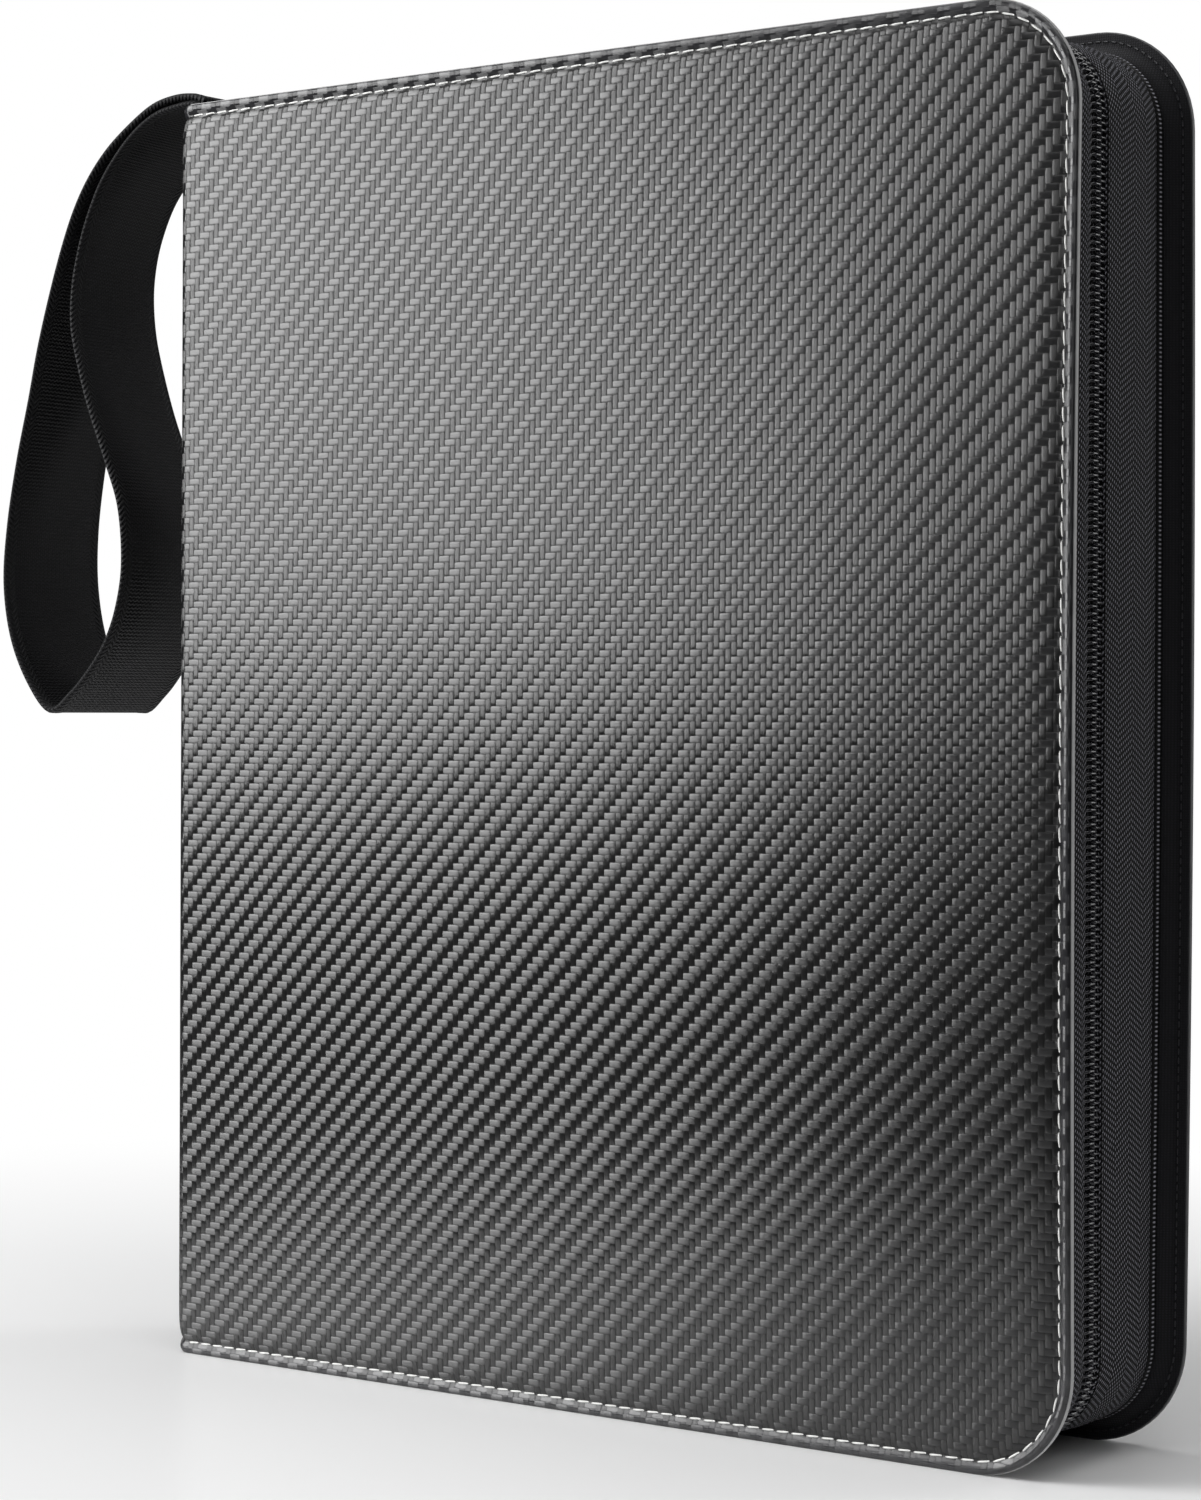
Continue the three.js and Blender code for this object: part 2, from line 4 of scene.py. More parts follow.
import bpy
import numpy as np
from mathutils import Matrix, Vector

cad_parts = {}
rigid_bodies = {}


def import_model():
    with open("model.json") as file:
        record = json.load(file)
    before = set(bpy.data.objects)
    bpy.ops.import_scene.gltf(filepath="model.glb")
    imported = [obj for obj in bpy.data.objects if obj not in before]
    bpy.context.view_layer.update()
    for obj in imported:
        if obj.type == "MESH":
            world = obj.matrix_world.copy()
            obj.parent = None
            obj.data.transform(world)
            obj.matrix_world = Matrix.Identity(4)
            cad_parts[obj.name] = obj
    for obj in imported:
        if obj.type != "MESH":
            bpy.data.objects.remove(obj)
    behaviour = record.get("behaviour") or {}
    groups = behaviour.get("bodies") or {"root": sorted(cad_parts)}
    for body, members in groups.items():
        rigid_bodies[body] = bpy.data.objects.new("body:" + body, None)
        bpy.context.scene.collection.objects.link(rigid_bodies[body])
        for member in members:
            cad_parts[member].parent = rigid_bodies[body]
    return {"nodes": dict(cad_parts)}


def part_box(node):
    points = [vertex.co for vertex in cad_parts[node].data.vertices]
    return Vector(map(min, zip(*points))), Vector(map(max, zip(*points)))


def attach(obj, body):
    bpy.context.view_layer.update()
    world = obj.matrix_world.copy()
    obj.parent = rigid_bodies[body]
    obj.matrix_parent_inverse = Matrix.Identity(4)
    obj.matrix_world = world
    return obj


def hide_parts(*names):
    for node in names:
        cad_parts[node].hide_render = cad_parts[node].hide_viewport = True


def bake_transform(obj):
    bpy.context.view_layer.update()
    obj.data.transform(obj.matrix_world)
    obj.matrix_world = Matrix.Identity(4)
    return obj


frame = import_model()
for spare in [o for o in bpy.data.objects if o.name in ("Cube", "Light", "Camera")]:
    bpy.data.objects.remove(spare)
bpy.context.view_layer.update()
print("frame loaded:", len(frame["nodes"]), "nodes")

# Everything below is worked out in millimetres from the spine's outer face (x), the middle of the
# binder's thickness (y) and the table (z), and goes into the row frame when a mesh is made.
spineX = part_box("spine_skin")[0].x
skinLow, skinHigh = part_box("front_cover_skin")
case = {
    "height": (skinHigh.z - skinLow.z) * 1000,
    "width": (skinHigh.x - spineX) * 1000,
    "half": -skinLow.y * 1000,  # middle of the binder to a cover's outer face
    "cornerRadius": 25.0,
    "hingeRadius": 4.0,
    "skin": 0.9,
    "bow": 0.07,  # how much the full binder swells at the middle of its fore edge
    "straightStep": 6.0,
    "cornerSteps": 16,
}
zipMiddle = (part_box("front_zip_coil")[0].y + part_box("back_zip_coil")[1].y) * 500


# Millimetres from the spine's face to metres in the row frame.
def toRow(points):
    out = np.asarray(points, float) * 0.001
    out[..., 0] += spineX
    return out


# 0 below 0, 1 above 1, and 3t^2 - 2t^3 between.
def smooth(t):
    t = np.clip(t, 0, 1)
    return t * t * (3 - 2 * t)


# y grows by up to the bow's share, as half a sine wave up the height times a smooth rise to the
# fore edge.
def swell(points):
    out = np.array(points, float)
    tall = np.sin(np.pi * np.clip(out[..., 2] / case["height"], 0, 1))
    out[..., 1] *= 1 + case["bow"] * tall * smooth(out[..., 0] / case["width"])
    return out


# Corner numbers of the squares of a rows by columns grid of points, which may close on itself.
def gridQuads(rows, columns, wrapRows=False, wrapColumns=False):
    r = np.arange(rows if wrapRows else rows - 1)[:, None]
    c = np.arange(columns if wrapColumns else columns - 1)[None, :]
    r2, c2 = (r + 1) % rows, (c + 1) % columns
    return np.stack([r * columns + c, r * columns + c2, r2 * columns + c2, r2 * columns + c],
        -1).reshape(-1, 4)


# Half the cross product of a square's diagonals, which points out of its front.
def faceNormals(points, quads):
    a, b, c, d = (points[quads[:, k], :3] for k in range(4))
    return np.cross(c - a, d - b) / 2


# The squares, turned over if together they face away from outward.
def facing(points, quads, outward):
    return quads if (faceNormals(points, quads).sum(0) * np.asarray(outward)).sum() > 0 else quads[:, ::-1]


# Grids of points (x, y, z and more columns) joined where their first three columns agree to 0.1
# micron.
def weld(parts):
    rows = np.concatenate([p for p, _ in parts])
    starts = np.cumsum([0] + [len(p) for p, _ in parts])
    quads = np.concatenate([q + s for (_, q), s in zip(parts, starts)])
    _, first, back = np.unique(np.round(rows[:, :3], 4), axis=0, return_index=True, return_inverse=True)
    return rows[first], back.reshape(-1)[quads]


# A sheet given a thickness: a copy moved back along each point's mean normal, turned over, and a
# rim of squares along every edge that only one square uses.
def closeSheet(points, quads, thickness):
    normals = np.zeros_like(points)
    flat = faceNormals(points, quads)
    for k in range(4):
        np.add.at(normals, quads[:, k], flat)
    normals /= np.linalg.norm(normals, axis=1, keepdims=True) + 1e-12
    count = len(points)
    edges = np.stack([quads, np.roll(quads, -1, 1)], -1).reshape(-1, 2)
    keys, reverse = edges[:, 0] * count + edges[:, 1], edges[:, 1] * count + edges[:, 0]
    rim = edges[~np.isin(keys, reverse)]
    rimQuads = np.stack([rim[:, 1], rim[:, 0], rim[:, 0] + count, rim[:, 1] + count], -1)
    thick = np.asarray(thickness, float).reshape(-1, 1)
    return np.concatenate([points, points - normals * thick]), np.concatenate([quads, quads[:, ::-1]
        + count, rimQuads])


# A mesh object at the origin from points in millimetres, arrays of faces, and one UV layer per
# named (n, 2) array.
def makePiece(name, points, faces, material, layers=None, shadeFlat=False):
    mesh = bpy.data.meshes.new(name)
    lists = []
    for block in faces if isinstance(faces, list) else [faces]:
        lists += np.atleast_2d(block).tolist()
    mesh.from_pydata(toRow(points).tolist(), [], lists)
    corner = np.zeros(len(mesh.loops), int)
    mesh.loops.foreach_get("vertex_index", corner)
    for layer, values in (layers or {}).items():
        uv = mesh.uv_layers.new(name=layer)
        uv.data.foreach_set("uv", np.asarray(values, float)[corner].astype(np.float32).ravel())
    mesh.polygons.foreach_set("use_smooth", np.full(len(mesh.polygons), not shadeFlat))
    mesh.materials.append(material)
    mesh.update()
    piece = bpy.data.objects.new(name, mesh)
    bpy.context.scene.collection.objects.link(piece)
    return piece


# The front cover's side is -1 and is modelled; +1 turns y over and the faces with it.
def mirrorPiece(points, faces, side):
    if side < 0:
        return points, faces
    out = np.array(points, float)
    out[:, 1] *= -1
    blocks = faces if isinstance(faces, list) else [faces]
    return out, [np.atleast_2d(b)[:, ::-1] for b in blocks]


# Places along the covers' three sewn edges as (part, share): top edge, corner, fore edge, corner,
# bottom edge.
def rimSteps(start):
    across = case["width"] - case["cornerRadius"] - start
    along = case["height"] - 2 * case["cornerRadius"]
    counts = [round(across / case["straightStep"]), case["cornerSteps"],
        round(along / case["straightStep"]), case["cornerSteps"], round(across / case["straightStep"])]
    part = np.concatenate([np.full(n, k) for k, n in enumerate(counts)] + [[4]])
    share = np.concatenate([np.arange(n) / n for n in counts] + [[1.0]])
    return part, share, counts


# x, z and the outward direction on the edges' outline moved in by inset. Straight parts run evenly,
# and corners turn a quarter about the corner's own centre.
def rimPoint(part, share, inset, start):
    radius = case["cornerRadius"]
    cx, top, low = case["width"] - radius, case["height"] - radius, radius
    turn = share * np.pi / 2
    reach = radius - inset
    xs = [start + (cx - start) * share, cx + reach * np.sin(turn), cx + reach + 0 * share, cx + reach
        * np.cos(turn), cx + (start - cx) * share]
    zs = [top + reach + 0 * share, top + reach * np.cos(turn), top + (low - top) * share, low - reach
        * np.sin(turn), low - reach + 0 * share]
    outX = [0 * turn, np.sin(turn), 1 + 0 * turn, np.cos(turn), 0 * turn]
    outZ = [1 + 0 * turn, np.cos(turn), 0 * turn, -np.sin(turn), -1 + 0 * turn]
    return tuple(np.choose(part, list(v)) for v in (xs, zs, outX, outZ))


# Lengths of the five parts of the outline moved in by inset.
def rimLength(inset, start):
    across = case["width"] - case["cornerRadius"] - start
    corner = np.pi / 2 * (case["cornerRadius"] - inset)
    return np.array([across, corner, case["height"] - 2 * case["cornerRadius"], corner, across])


# Even places along the outline: x, z, outward x and z, and the distance run.
def rimSpaced(inset, start, pitch, margin=0.0):
    lengths = rimLength(inset, start)
    ends = np.cumsum(lengths)
    count = int((ends[-1] - 2 * margin) / pitch)
    run = margin + (ends[-1] - 2 * margin - (count - 1) * pitch) / 2 + np.arange(count) * pitch
    part = np.searchsorted(ends, run).clip(0, 4)
    share = (run - (ends - lengths)[part]) / lengths[part]
    return (*rimPoint(part, share, inset, start), run)


# A closed profile of (inset, y) points carried along the three edges, with flat ends. Columns: x,
# y, z, run, place round the profile.
def rimSweep(profile, start):
    part, share, _ = rimSteps(start)
    inset = profile[:, :1]
    x, z, _, _ = rimPoint(part[None, :].repeat(len(profile), 0), share[None, :].repeat(len(profile), 0),
        inset, start)
    lengths = rimLength(profile[:, 0].min(), start)
    run = (np.cumsum(lengths) - lengths)[part] + share * lengths[part]
    around = np.concatenate([[0], np.cumsum(np.linalg.norm(np.diff(profile, axis=0), axis=1))])
    points = np.stack([x, profile[:, 1:].repeat(len(part), 1), z], -1).reshape(-1, 3)
    uv = np.stack([run[None, :].repeat(len(profile), 0), around[:, None].repeat(len(part), 1)],
        -1).reshape(-1, 2)
    quads = gridQuads(len(profile), len(part), wrapRows=True)
    first = np.arange(len(profile)) * len(part)
    faces = [quads, first[None, :], (first + len(part) - 1)[None, ::-1]]
    tests = faceNormals(points, quads[: len(part) - 1])
    middle = points.reshape(len(profile), len(part), 3).mean((0, 1))
    if (tests.sum(0) * (points[: len(part)].mean(0) - middle)).sum() < 0:
        faces = [f[:, ::-1] for f in faces]
    return points, faces, uv


# A small closed spindle along x: round sections whose size follows the sine of the way along, to a
# power.
def bead(length, width, height, rings=5, sides=6, power=1.0):
    t = np.linspace(0, np.pi, rings + 2)[1:-1]
    a = np.linspace(0, 2 * np.pi, sides, endpoint=False)
    size = np.sin(t) ** power
    body = np.stack([(-np.cos(t) * length / 2)[:, None] + 0 * a, size[:, None] * np.cos(a) * width / 2,
        size[:, None] * np.sin(a) * height / 2], -1).reshape(-1, 3)
    points = np.concatenate([body, [[-length / 2, 0, 0], [length / 2, 0, 0]]])
    quads = gridQuads(rings, sides, wrapColumns=True)
    here = np.arange(sides)
    following = (here + 1) % sides
    pole = len(body)
    last = (rings - 1) * sides
    tips = np.concatenate([np.stack([here, following, np.full(sides, pole)], -1),
        np.stack([last + following, last + here, np.full(sides, pole + 1)], -1)])
    return points, quads, tips


# Copies of a template (along the edge, outward, y) put at places on the rim at y = depth.
def scatterOnRim(template, places, depth):
    points, quads, tips = template
    x, z, ox, oz, _ = places
    n, k = len(x), len(points)
    out = np.zeros((n, k, 3))
    tx, tz = oz, -ox  # the way along the edge
    out[..., 0] = x[:, None] + points[:, 0] * tx[:, None] + points[:, 1] * ox[:, None]
    out[..., 1] = depth + points[:, 2]
    out[..., 2] = z[:, None] + points[:, 0] * tz[:, None] + points[:, 1] * oz[:, None]
    shift = (np.arange(n) * k)[:, None, None]
    faces = [(b[None] + shift).reshape(-1, b.shape[1]) for b in (quads, tips)]
    test = faceNormals(out[0], quads)
    middle = out[0][quads].mean(1) - out[0].mean(0)
    if (test * middle).sum() < 0:
        faces = [f[:, ::-1] for f in faces]
    return out.reshape(-1, 3), faces


# A round tube along a path: each section stands square to the way the path runs there, turned as
# little as possible from the last, and both ends are closed flat.
def tube(path, radius, sides=16):
    path = np.asarray(path, float)
    way = np.gradient(path, axis=0)
    way /= np.linalg.norm(way, axis=1, keepdims=True)
    side = np.cross(way, [0.0, 0.0, 1.0])
    weak = np.linalg.norm(side, axis=1) < 0.2
    side[weak] = np.cross(way[weak], [0.0, 1.0, 0.0])
    side /= np.linalg.norm(side, axis=1, keepdims=True)
    over = np.cross(side, way)
    a = np.linspace(0, 2 * np.pi, sides, endpoint=False)
    size = np.broadcast_to(np.asarray(radius, float).reshape(-1, 1, 1), (len(path), 1, 1))
    points = path[:, None] + size * (np.cos(a)[None, :, None] * side[:, None] + np.sin(a)[None, :, None]
        * over[:, None])
    points = points.reshape(-1, 3)
    quads = gridQuads(len(path), sides, wrapColumns=True)
    ends = [np.arange(sides)[None, ::-1], (np.arange(sides) + (len(path) - 1) * sides)[None]]
    test = faceNormals(points, quads)
    if (test * (points[quads].mean(1) - path.repeat(sides, 0)[quads].mean(1))).sum() < 0:
        quads, ends = quads[:, ::-1], [e[:, ::-1] for e in ends]
    return points, [quads, *ends]


# A smooth curve through the knots: each stretch is the cubic set by its two ends and their
# neighbours, and the result is spaced evenly.
def through(knots, step):
    p = np.asarray(knots, float)
    p = np.concatenate([[2 * p[0] - p[1]], p, [2 * p[-1] - p[-2]]])
    t = np.linspace(0, 1, 24, endpoint=False)[:, None]
    line = np.concatenate([0.5 * (2 * b + (c - a) * t + (2 * a - 5 * b + 4 * c - d) * t ** 2
        + (3 * b - a - 3 * c + d) * t ** 3) for a, b, c, d in zip(p[:-3], p[1:-2], p[2:-1], p[3:])]
        + [p[-2:-1]])
    run = np.concatenate([[0], np.cumsum(np.linalg.norm(np.diff(line, axis=0), axis=1))])
    even = np.linspace(0, run[-1], int(run[-1] / step) + 1)
    return np.stack([np.interp(even, run, line[:, k]) for k in range(line.shape[1])], -1), even


# sRGB hex to linear: c/12.92 below 0.04045, ((c+0.055)/1.055)^2.4 above.
def hexColour(text):
    parts = [int(text[i:i + 2], 16) / 255 for i in (1, 3, 5)]
    return tuple(c / 12.92 if c <= 0.04045 else ((c + 0.055) / 1.055) ** 2.4 for c in parts) + (1.0,)


# Adds a node, sets its properties, links or fills its inputs, and gives back one output.
def addNode(tree, kind, settings=None, inputs=None, out=0):
    node = tree.nodes.new(kind)
    for key, value in (settings or {}).items():
        setattr(node, key, value)
    for key, value in (inputs or {}).items():
        if isinstance(value, bpy.types.NodeSocket):
            tree.links.new(value, node.inputs[key])
        else:
            node.inputs[key].default_value = value
    return node.outputs[out] if node.outputs else None


# A maths node: its operation and up to three values or links.
def mathStep(tree, operation, *values):
    return addNode(tree, mathNode, {"operation": operation}, dict(enumerate(values)))


def newMaterial(name):
    material = bpy.data.materials.new(name)
    material.use_nodes = True
    material.node_tree.nodes.clear()
    return material, material.node_tree


mathNode, mixNode = "ShaderNodeMath", "ShaderNodeMix"


# The surface shader and the output, with an optional bump (height, strength, distance in metres).
def finishMaterial(tree, inputs, bump=None):
    inputs = dict(inputs)
    if bump:
        height, strength, distance = bump
        inputs["Normal"] = addNode(tree, "ShaderNodeBump", inputs={"Height": height, "Strength": strength,
            "Distance": distance})
    shader = addNode(tree, "ShaderNodeBsdfPrincipled", inputs=inputs)
    addNode(tree, "ShaderNodeOutputMaterial", inputs={"Surface": shader})


# The piece's own UV layer in units of scale metres, as two numbers.
def surfacePlaces(tree, layer, scale):
    uv = addNode(tree, "ShaderNodeUVMap", {"uv_map": layer})
    grown = addNode(tree, "ShaderNodeVectorMath", {"operation": "SCALE"}, {0: uv, "Scale": 1 / scale})
    return [addNode(tree, "ShaderNodeSeparateXYZ", inputs={0: grown}, out=k) for k in (0, 1)] + [grown]


def twillMaterial(name, look):
    # PU leatherette pressed with a 2/2 carbon twill: flat, crowned tows that each go over two and under
    # two, so the short floats line up in diagonals and every tow throws its own soft highlight.
    material, tree = newMaterial(name)
    u, v, _ = surfacePlaces(tree, "weave", look["tow"])
    i = mathStep(tree, "FLOOR", u)
    j = mathStep(tree, "FLOOR", v)
    step = mathStep(tree, "SUBTRACT", i, j)
    phase = mathStep(tree, "FLOORED_MODULO", step, 4.0)
    weftUp = mathStep(tree, "LESS_THAN", phase, 1.5)
    # place along the float on top, from 0 to 1
    weftRun = mathStep(tree, "SUBTRACT", u, j)
    weftRun = mathStep(tree, "FLOORED_MODULO", weftRun, 4.0)
    weftRun = mathStep(tree, "MULTIPLY", weftRun, 0.5)
    warpRun = mathStep(tree, "SUBTRACT", i, v)
    warpRun = mathStep(tree, "FLOORED_MODULO", warpRun, 4.0)
    warpRun = mathStep(tree, "MULTIPLY_ADD", warpRun, 0.5, -0.5)
    run = addNode(tree, mixNode, {"data_type": "FLOAT"}, {0: weftUp, 2: warpRun, 3: weftRun})
    # place across the tow on top, from -1 to 1
    fu = mathStep(tree, "FRACT", u)
    fv = mathStep(tree, "FRACT", v)
    across = addNode(tree, mixNode, {"data_type": "FLOAT"}, {0: weftUp, 2: fu, 3: fv})
    across = mathStep(tree, "MULTIPLY_ADD", across, 2.0, -1.0)
    across = mathStep(tree, "ABSOLUTE", across)
    crown = mathStep(tree, "POWER", across, look["crown"])
    along = mathStep(tree, "MULTIPLY_ADD", run, 2.0, -1.0)
    along = mathStep(tree, "ABSOLUTE", along)
    dip = mathStep(tree, "POWER", along, 3.0)
    dip = mathStep(tree, "MULTIPLY", dip, look["dip"])
    low = mathStep(tree, "ADD", crown, dip)
    height = mathStep(tree, "SUBTRACT", 1.0, low)
    # fibres 0.2 mm apart, drawn along each tow; real ones are far finer
    uFibre = addNode(tree, "ShaderNodeCombineXYZ", inputs={0: u, 1: v})
    weftFibre = addNode(tree, "ShaderNodeMapping", inputs={"Vector": uFibre, "Scale": (0.9, 8.0, 1.0)})
    warpFibre = addNode(tree, "ShaderNodeMapping", inputs={"Vector": uFibre, "Scale": (8.0, 0.9, 1.0)})
    fibrePlace = addNode(tree, mixNode, {"data_type": "VECTOR"}, {0: weftUp, 4: warpFibre, 5: weftFibre},
        out=1)
    fibre = addNode(tree, "ShaderNodeTexNoise", inputs={"Vector": fibrePlace, "Scale": 1.0, "Detail": 2.0})
    fibre = addNode(tree, "ShaderNodeMapRange", inputs={0: fibre, 1: 0.3, 2: 0.7, 3: 0.0, 4: 1.0})
    # the pressed border outside the seam keeps only a trace of the weave
    rim = addNode(tree, "ShaderNodeUVMap", {"uv_map": "rim"})
    inset = addNode(tree, "ShaderNodeSeparateXYZ", inputs={0: rim})
    inside = addNode(tree, "ShaderNodeMapRange", {"interpolation_type": "SMOOTHSTEP"},
        {0: inset, 1: 0.0022, 2: 0.0032, 3: look["borderWeave"], 4: 1.0})
    relief = mathStep(tree, "MULTIPLY_ADD", fibre, look["fibreRelief"], height)
    relief = mathStep(tree, "MULTIPLY", relief, inside)
    grain = addNode(tree, "ShaderNodeTexNoise", inputs={"Vector": uFibre, "Scale": 3.0, "Detail": 3.0})
    relief = mathStep(tree, "MULTIPLY_ADD", grain, 0.12, relief)
    # tone: weft painted a little lighter than warp, a painted highlight for the light the wefts catch; where
    # a tow dives under its neighbour it is painted near black, a painted shade in the recess
    tow = addNode(tree, mixNode, {"data_type": "RGBA"}, {0: weftUp, 6: hexColour(look["warp"]),
        7: hexColour(look["weft"])}, out=2)
    streak = addNode(tree, "ShaderNodeMapRange", inputs={0: fibre, 3: 0.72, 4: 1.25})
    tow = addNode(tree, "ShaderNodeVectorMath", {"operation": "SCALE"}, {0: tow, "Scale": streak})
    gap = addNode(tree, "ShaderNodeMapRange", {"interpolation_type": "SMOOTHSTEP"},
        {0: low, 1: 0.55, 2: 1.15, 3: 0.0, 4: 1.0})
    tow = addNode(tree, mixNode, {"data_type": "RGBA"}, {0: gap, 6: tow, 7: hexColour(look["gap"])}, out=2)
    mottle = addNode(tree, "ShaderNodeTexNoise", inputs={"Vector": uFibre, "Scale": 0.55, "Detail": 3.0})
    border = addNode(tree, "ShaderNodeMapRange", inputs={0: mottle, 1: 0.35, 2: 0.65, 3: 0.6, 4: 1.3})
    border = addNode(tree, "ShaderNodeVectorMath", {"operation": "SCALE"},
        {0: hexColour(look["border"])[:3], "Scale": border})
    colour = addNode(tree, mixNode, {"data_type": "RGBA"}, {0: inside, 6: border, 7: tow}, out=2)
    rough = addNode(tree, "ShaderNodeMapRange",
        inputs={0: fibre, 3: look["rough"] - 0.03, 4: look["rough"] + 0.04})
    deep = addNode(tree, mixNode, {"data_type": "FLOAT"}, {0: gap, 2: rough, 3: 0.7})
    # fibres spread a highlight across themselves, so a tow's gloss turns with the way it runs
    grainWay = addNode(tree, "ShaderNodeTangent", {"direction_type": "UV_MAP", "uv_map": "weave"})
    turned = mathStep(tree, "MULTIPLY", weftUp, 0.25)
    finishMaterial(tree, {"Base Color": colour, "Roughness": deep, "IOR": 1.5,
        "Specular IOR Level": look["specular"], "Anisotropic": look["stretch"],
        "Anisotropic Rotation": turned, "Tangent": grainWay}, (relief, 1.0, look["relief"]))
    return material


def clothMaterial(name, look):
    # Woven cloth drawn as crossing threads: warp and weft crowns alternate like a chessboard, each a small
    # round bump, which gives nylon and polyester their dull, slightly broken sheen. The colour follows the
    # same height, so the crowns are painted lighter (a painted highlight) and the hollows between threads
    # darker (painted shade).
    material, tree = newMaterial(name)
    u, v, place = surfacePlaces(tree, "weave", look["thread"])
    if look.get("columns"):  # herringbone: the twill's lean turns over from column to column
        column = mathStep(tree, "MULTIPLY", v, look["thread"] / look["columns"])
        lean = mathStep(tree, "PINGPONG", column, 1.0)
        lean = mathStep(tree, "MULTIPLY", lean, look["columns"] / look["thread"])
        slant = mathStep(tree, "MULTIPLY_ADD", lean, look["lean"], u)
        ridge = mathStep(tree, "MULTIPLY", slant, 2 * math.pi)
    else:
        ridge = mathStep(tree, "MULTIPLY", u, 2 * math.pi)
    beads = mathStep(tree, "MULTIPLY", v, 2 * math.pi * look["beads"])
    ridge = mathStep(tree, "SINE", ridge)
    beads = mathStep(tree, "SINE", beads)
    ribs = mathStep(tree, "MULTIPLY_ADD", ridge, 0.5, 0.5)
    dots = mathStep(tree, "MULTIPLY_ADD", beads, look["beadDepth"], 0.5)
    height = mathStep(tree, "MULTIPLY", ribs, dots)
    stray = addNode(tree, "ShaderNodeTexNoise", inputs={"Vector": place, "Scale": 1.3, "Detail": 3.0})
    height = mathStep(tree, "MULTIPLY_ADD", stray, look["fuzz"], height)
    # painted light: crowns take the high colour as a painted highlight, hollows the low colour as painted
    # shade
    tone = addNode(tree, "ShaderNodeMapRange", inputs={0: height, 1: look.get("from", 0.15), 2: 0.95,
        3: 0.0, 4: 1.0})
    colour = addNode(tree, mixNode, {"data_type": "RGBA"}, {0: tone, 6: hexColour(look["low"]),
        7: hexColour(look["high"])}, out=2)
    finishMaterial(tree, {"Base Color": colour, "Roughness": look["rough"], "Sheen Weight": look["sheen"],
        "Sheen Roughness": 0.5, "Specular IOR Level": look["specular"]}, (height, 1.0, look["relief"]))
    return material


def webbingMaterial(name, look):
    # Nylon webbing on a shuttle loom: ribs straight across, broken by the lengthwise yarns, and a
    # chevron of slanted stitches down each woven edge.
    material, tree = newMaterial(name)
    u, v, place = surfacePlaces(tree, "weave", 0.001)
    far = mathStep(tree, "ABSOLUTE", v)
    edge = mathStep(tree, "GREATER_THAN", far, look["half"] - look["selvedge"])
    yarn = mathStep(tree, "MULTIPLY", v, math.pi / look["yarn"])
    yarn = mathStep(tree, "SINE", yarn)
    turn = mathStep(tree, "SIGN", yarn)
    rib = mathStep(tree, "MULTIPLY", u, 2 * math.pi / look["rib"])
    rib = mathStep(tree, "MULTIPLY_ADD", turn, 0.7, rib)
    rib = mathStep(tree, "SINE", rib)
    body = mathStep(tree, "MULTIPLY_ADD", rib, 0.5, 0.5)
    cut = mathStep(tree, "ABSOLUTE", yarn)
    cut = mathStep(tree, "MULTIPLY_ADD", cut, 0.35, 0.65)
    body = mathStep(tree, "MULTIPLY", body, cut)
    # two columns of slanted stitches that meet in a vee
    vee = mathStep(tree, "SUBTRACT", far, look["half"] - look["selvedge"] / 2)
    side = mathStep(tree, "ABSOLUTE", vee)
    slant = mathStep(tree, "MULTIPLY_ADD", side, 1.0, u)
    slant = mathStep(tree, "MULTIPLY", slant, 2 * math.pi / look["stitch"])
    slant = mathStep(tree, "SINE", slant)
    slant = mathStep(tree, "MULTIPLY_ADD", slant, 0.6, 0.6)
    notch = addNode(tree, "ShaderNodeMapRange", {"interpolation_type": "SMOOTHSTEP"},
        {0: side, 1: 0.0, 2: 0.25})
    slant = mathStep(tree, "MULTIPLY", slant, notch)
    height = addNode(tree, mixNode, {"data_type": "FLOAT"}, {0: edge, 2: body, 3: slant})
    stray = addNode(tree, "ShaderNodeTexNoise", inputs={"Vector": place, "Scale": 2.5, "Detail": 3.0})
    height = mathStep(tree, "MULTIPLY_ADD", stray, 0.3, height)
    # painted light: the raised ribs and stitches take the lighter colour and the hollows the darker one, a
    # painted highlight and painted shade
    colour = addNode(tree, mixNode, {"data_type": "RGBA"}, {0: height, 6: hexColour(look["low"]),
        7: hexColour(look["high"])}, out=2)
    finishMaterial(tree, {"Base Color": colour, "Roughness": 0.58, "Specular IOR Level": 0.22,
        "Sheen Weight": 0.03, "Sheen Roughness": 0.4}, (height, 1.0, look["relief"]))
    return material


def plainMaterial(name, look):
    # Moulded, cast or plated stock with one colour: fine noise moves its tone, gloss and surface a
    # little, as handling, mould texture and plating do.
    material, tree = newMaterial(name)
    place = addNode(tree, "ShaderNodeTexCoord", out="Object")
    place = addNode(tree, "ShaderNodeMapping",
        inputs={"Vector": place, "Scale": look.get("stretch", (1, 1, 1))})
    wear = addNode(tree, "ShaderNodeTexNoise", inputs={"Vector": place, "Scale": 1 / look["grain"],
        "Detail": 4.0})
    wide = addNode(tree, "ShaderNodeTexNoise", inputs={"Vector": place, "Scale": 0.12 / look["grain"],
        "Detail": 2.0})
    colour = addNode(tree, mixNode, {"data_type": "RGBA"}, {0: wide, 6: hexColour(look["low"]),
        7: hexColour(look["high"])}, out=2)
    rough = addNode(tree, "ShaderNodeMapRange", inputs={0: wear, 3: look["rough"] - 0.06, 4: look["rough"]
        + 0.08})
    inputs = {"Base Color": colour, "Roughness": rough, "Metallic": look.get("metal", 0.0)}
    if not look.get("metal"):
        inputs["IOR"] = look.get("ior", 1.5)
    if look.get("alpha"):
        inputs["Alpha"] = look["alpha"]
    finishMaterial(tree, inputs, (wear, look.get("strength", 0.5), look["relief"]))
    return material


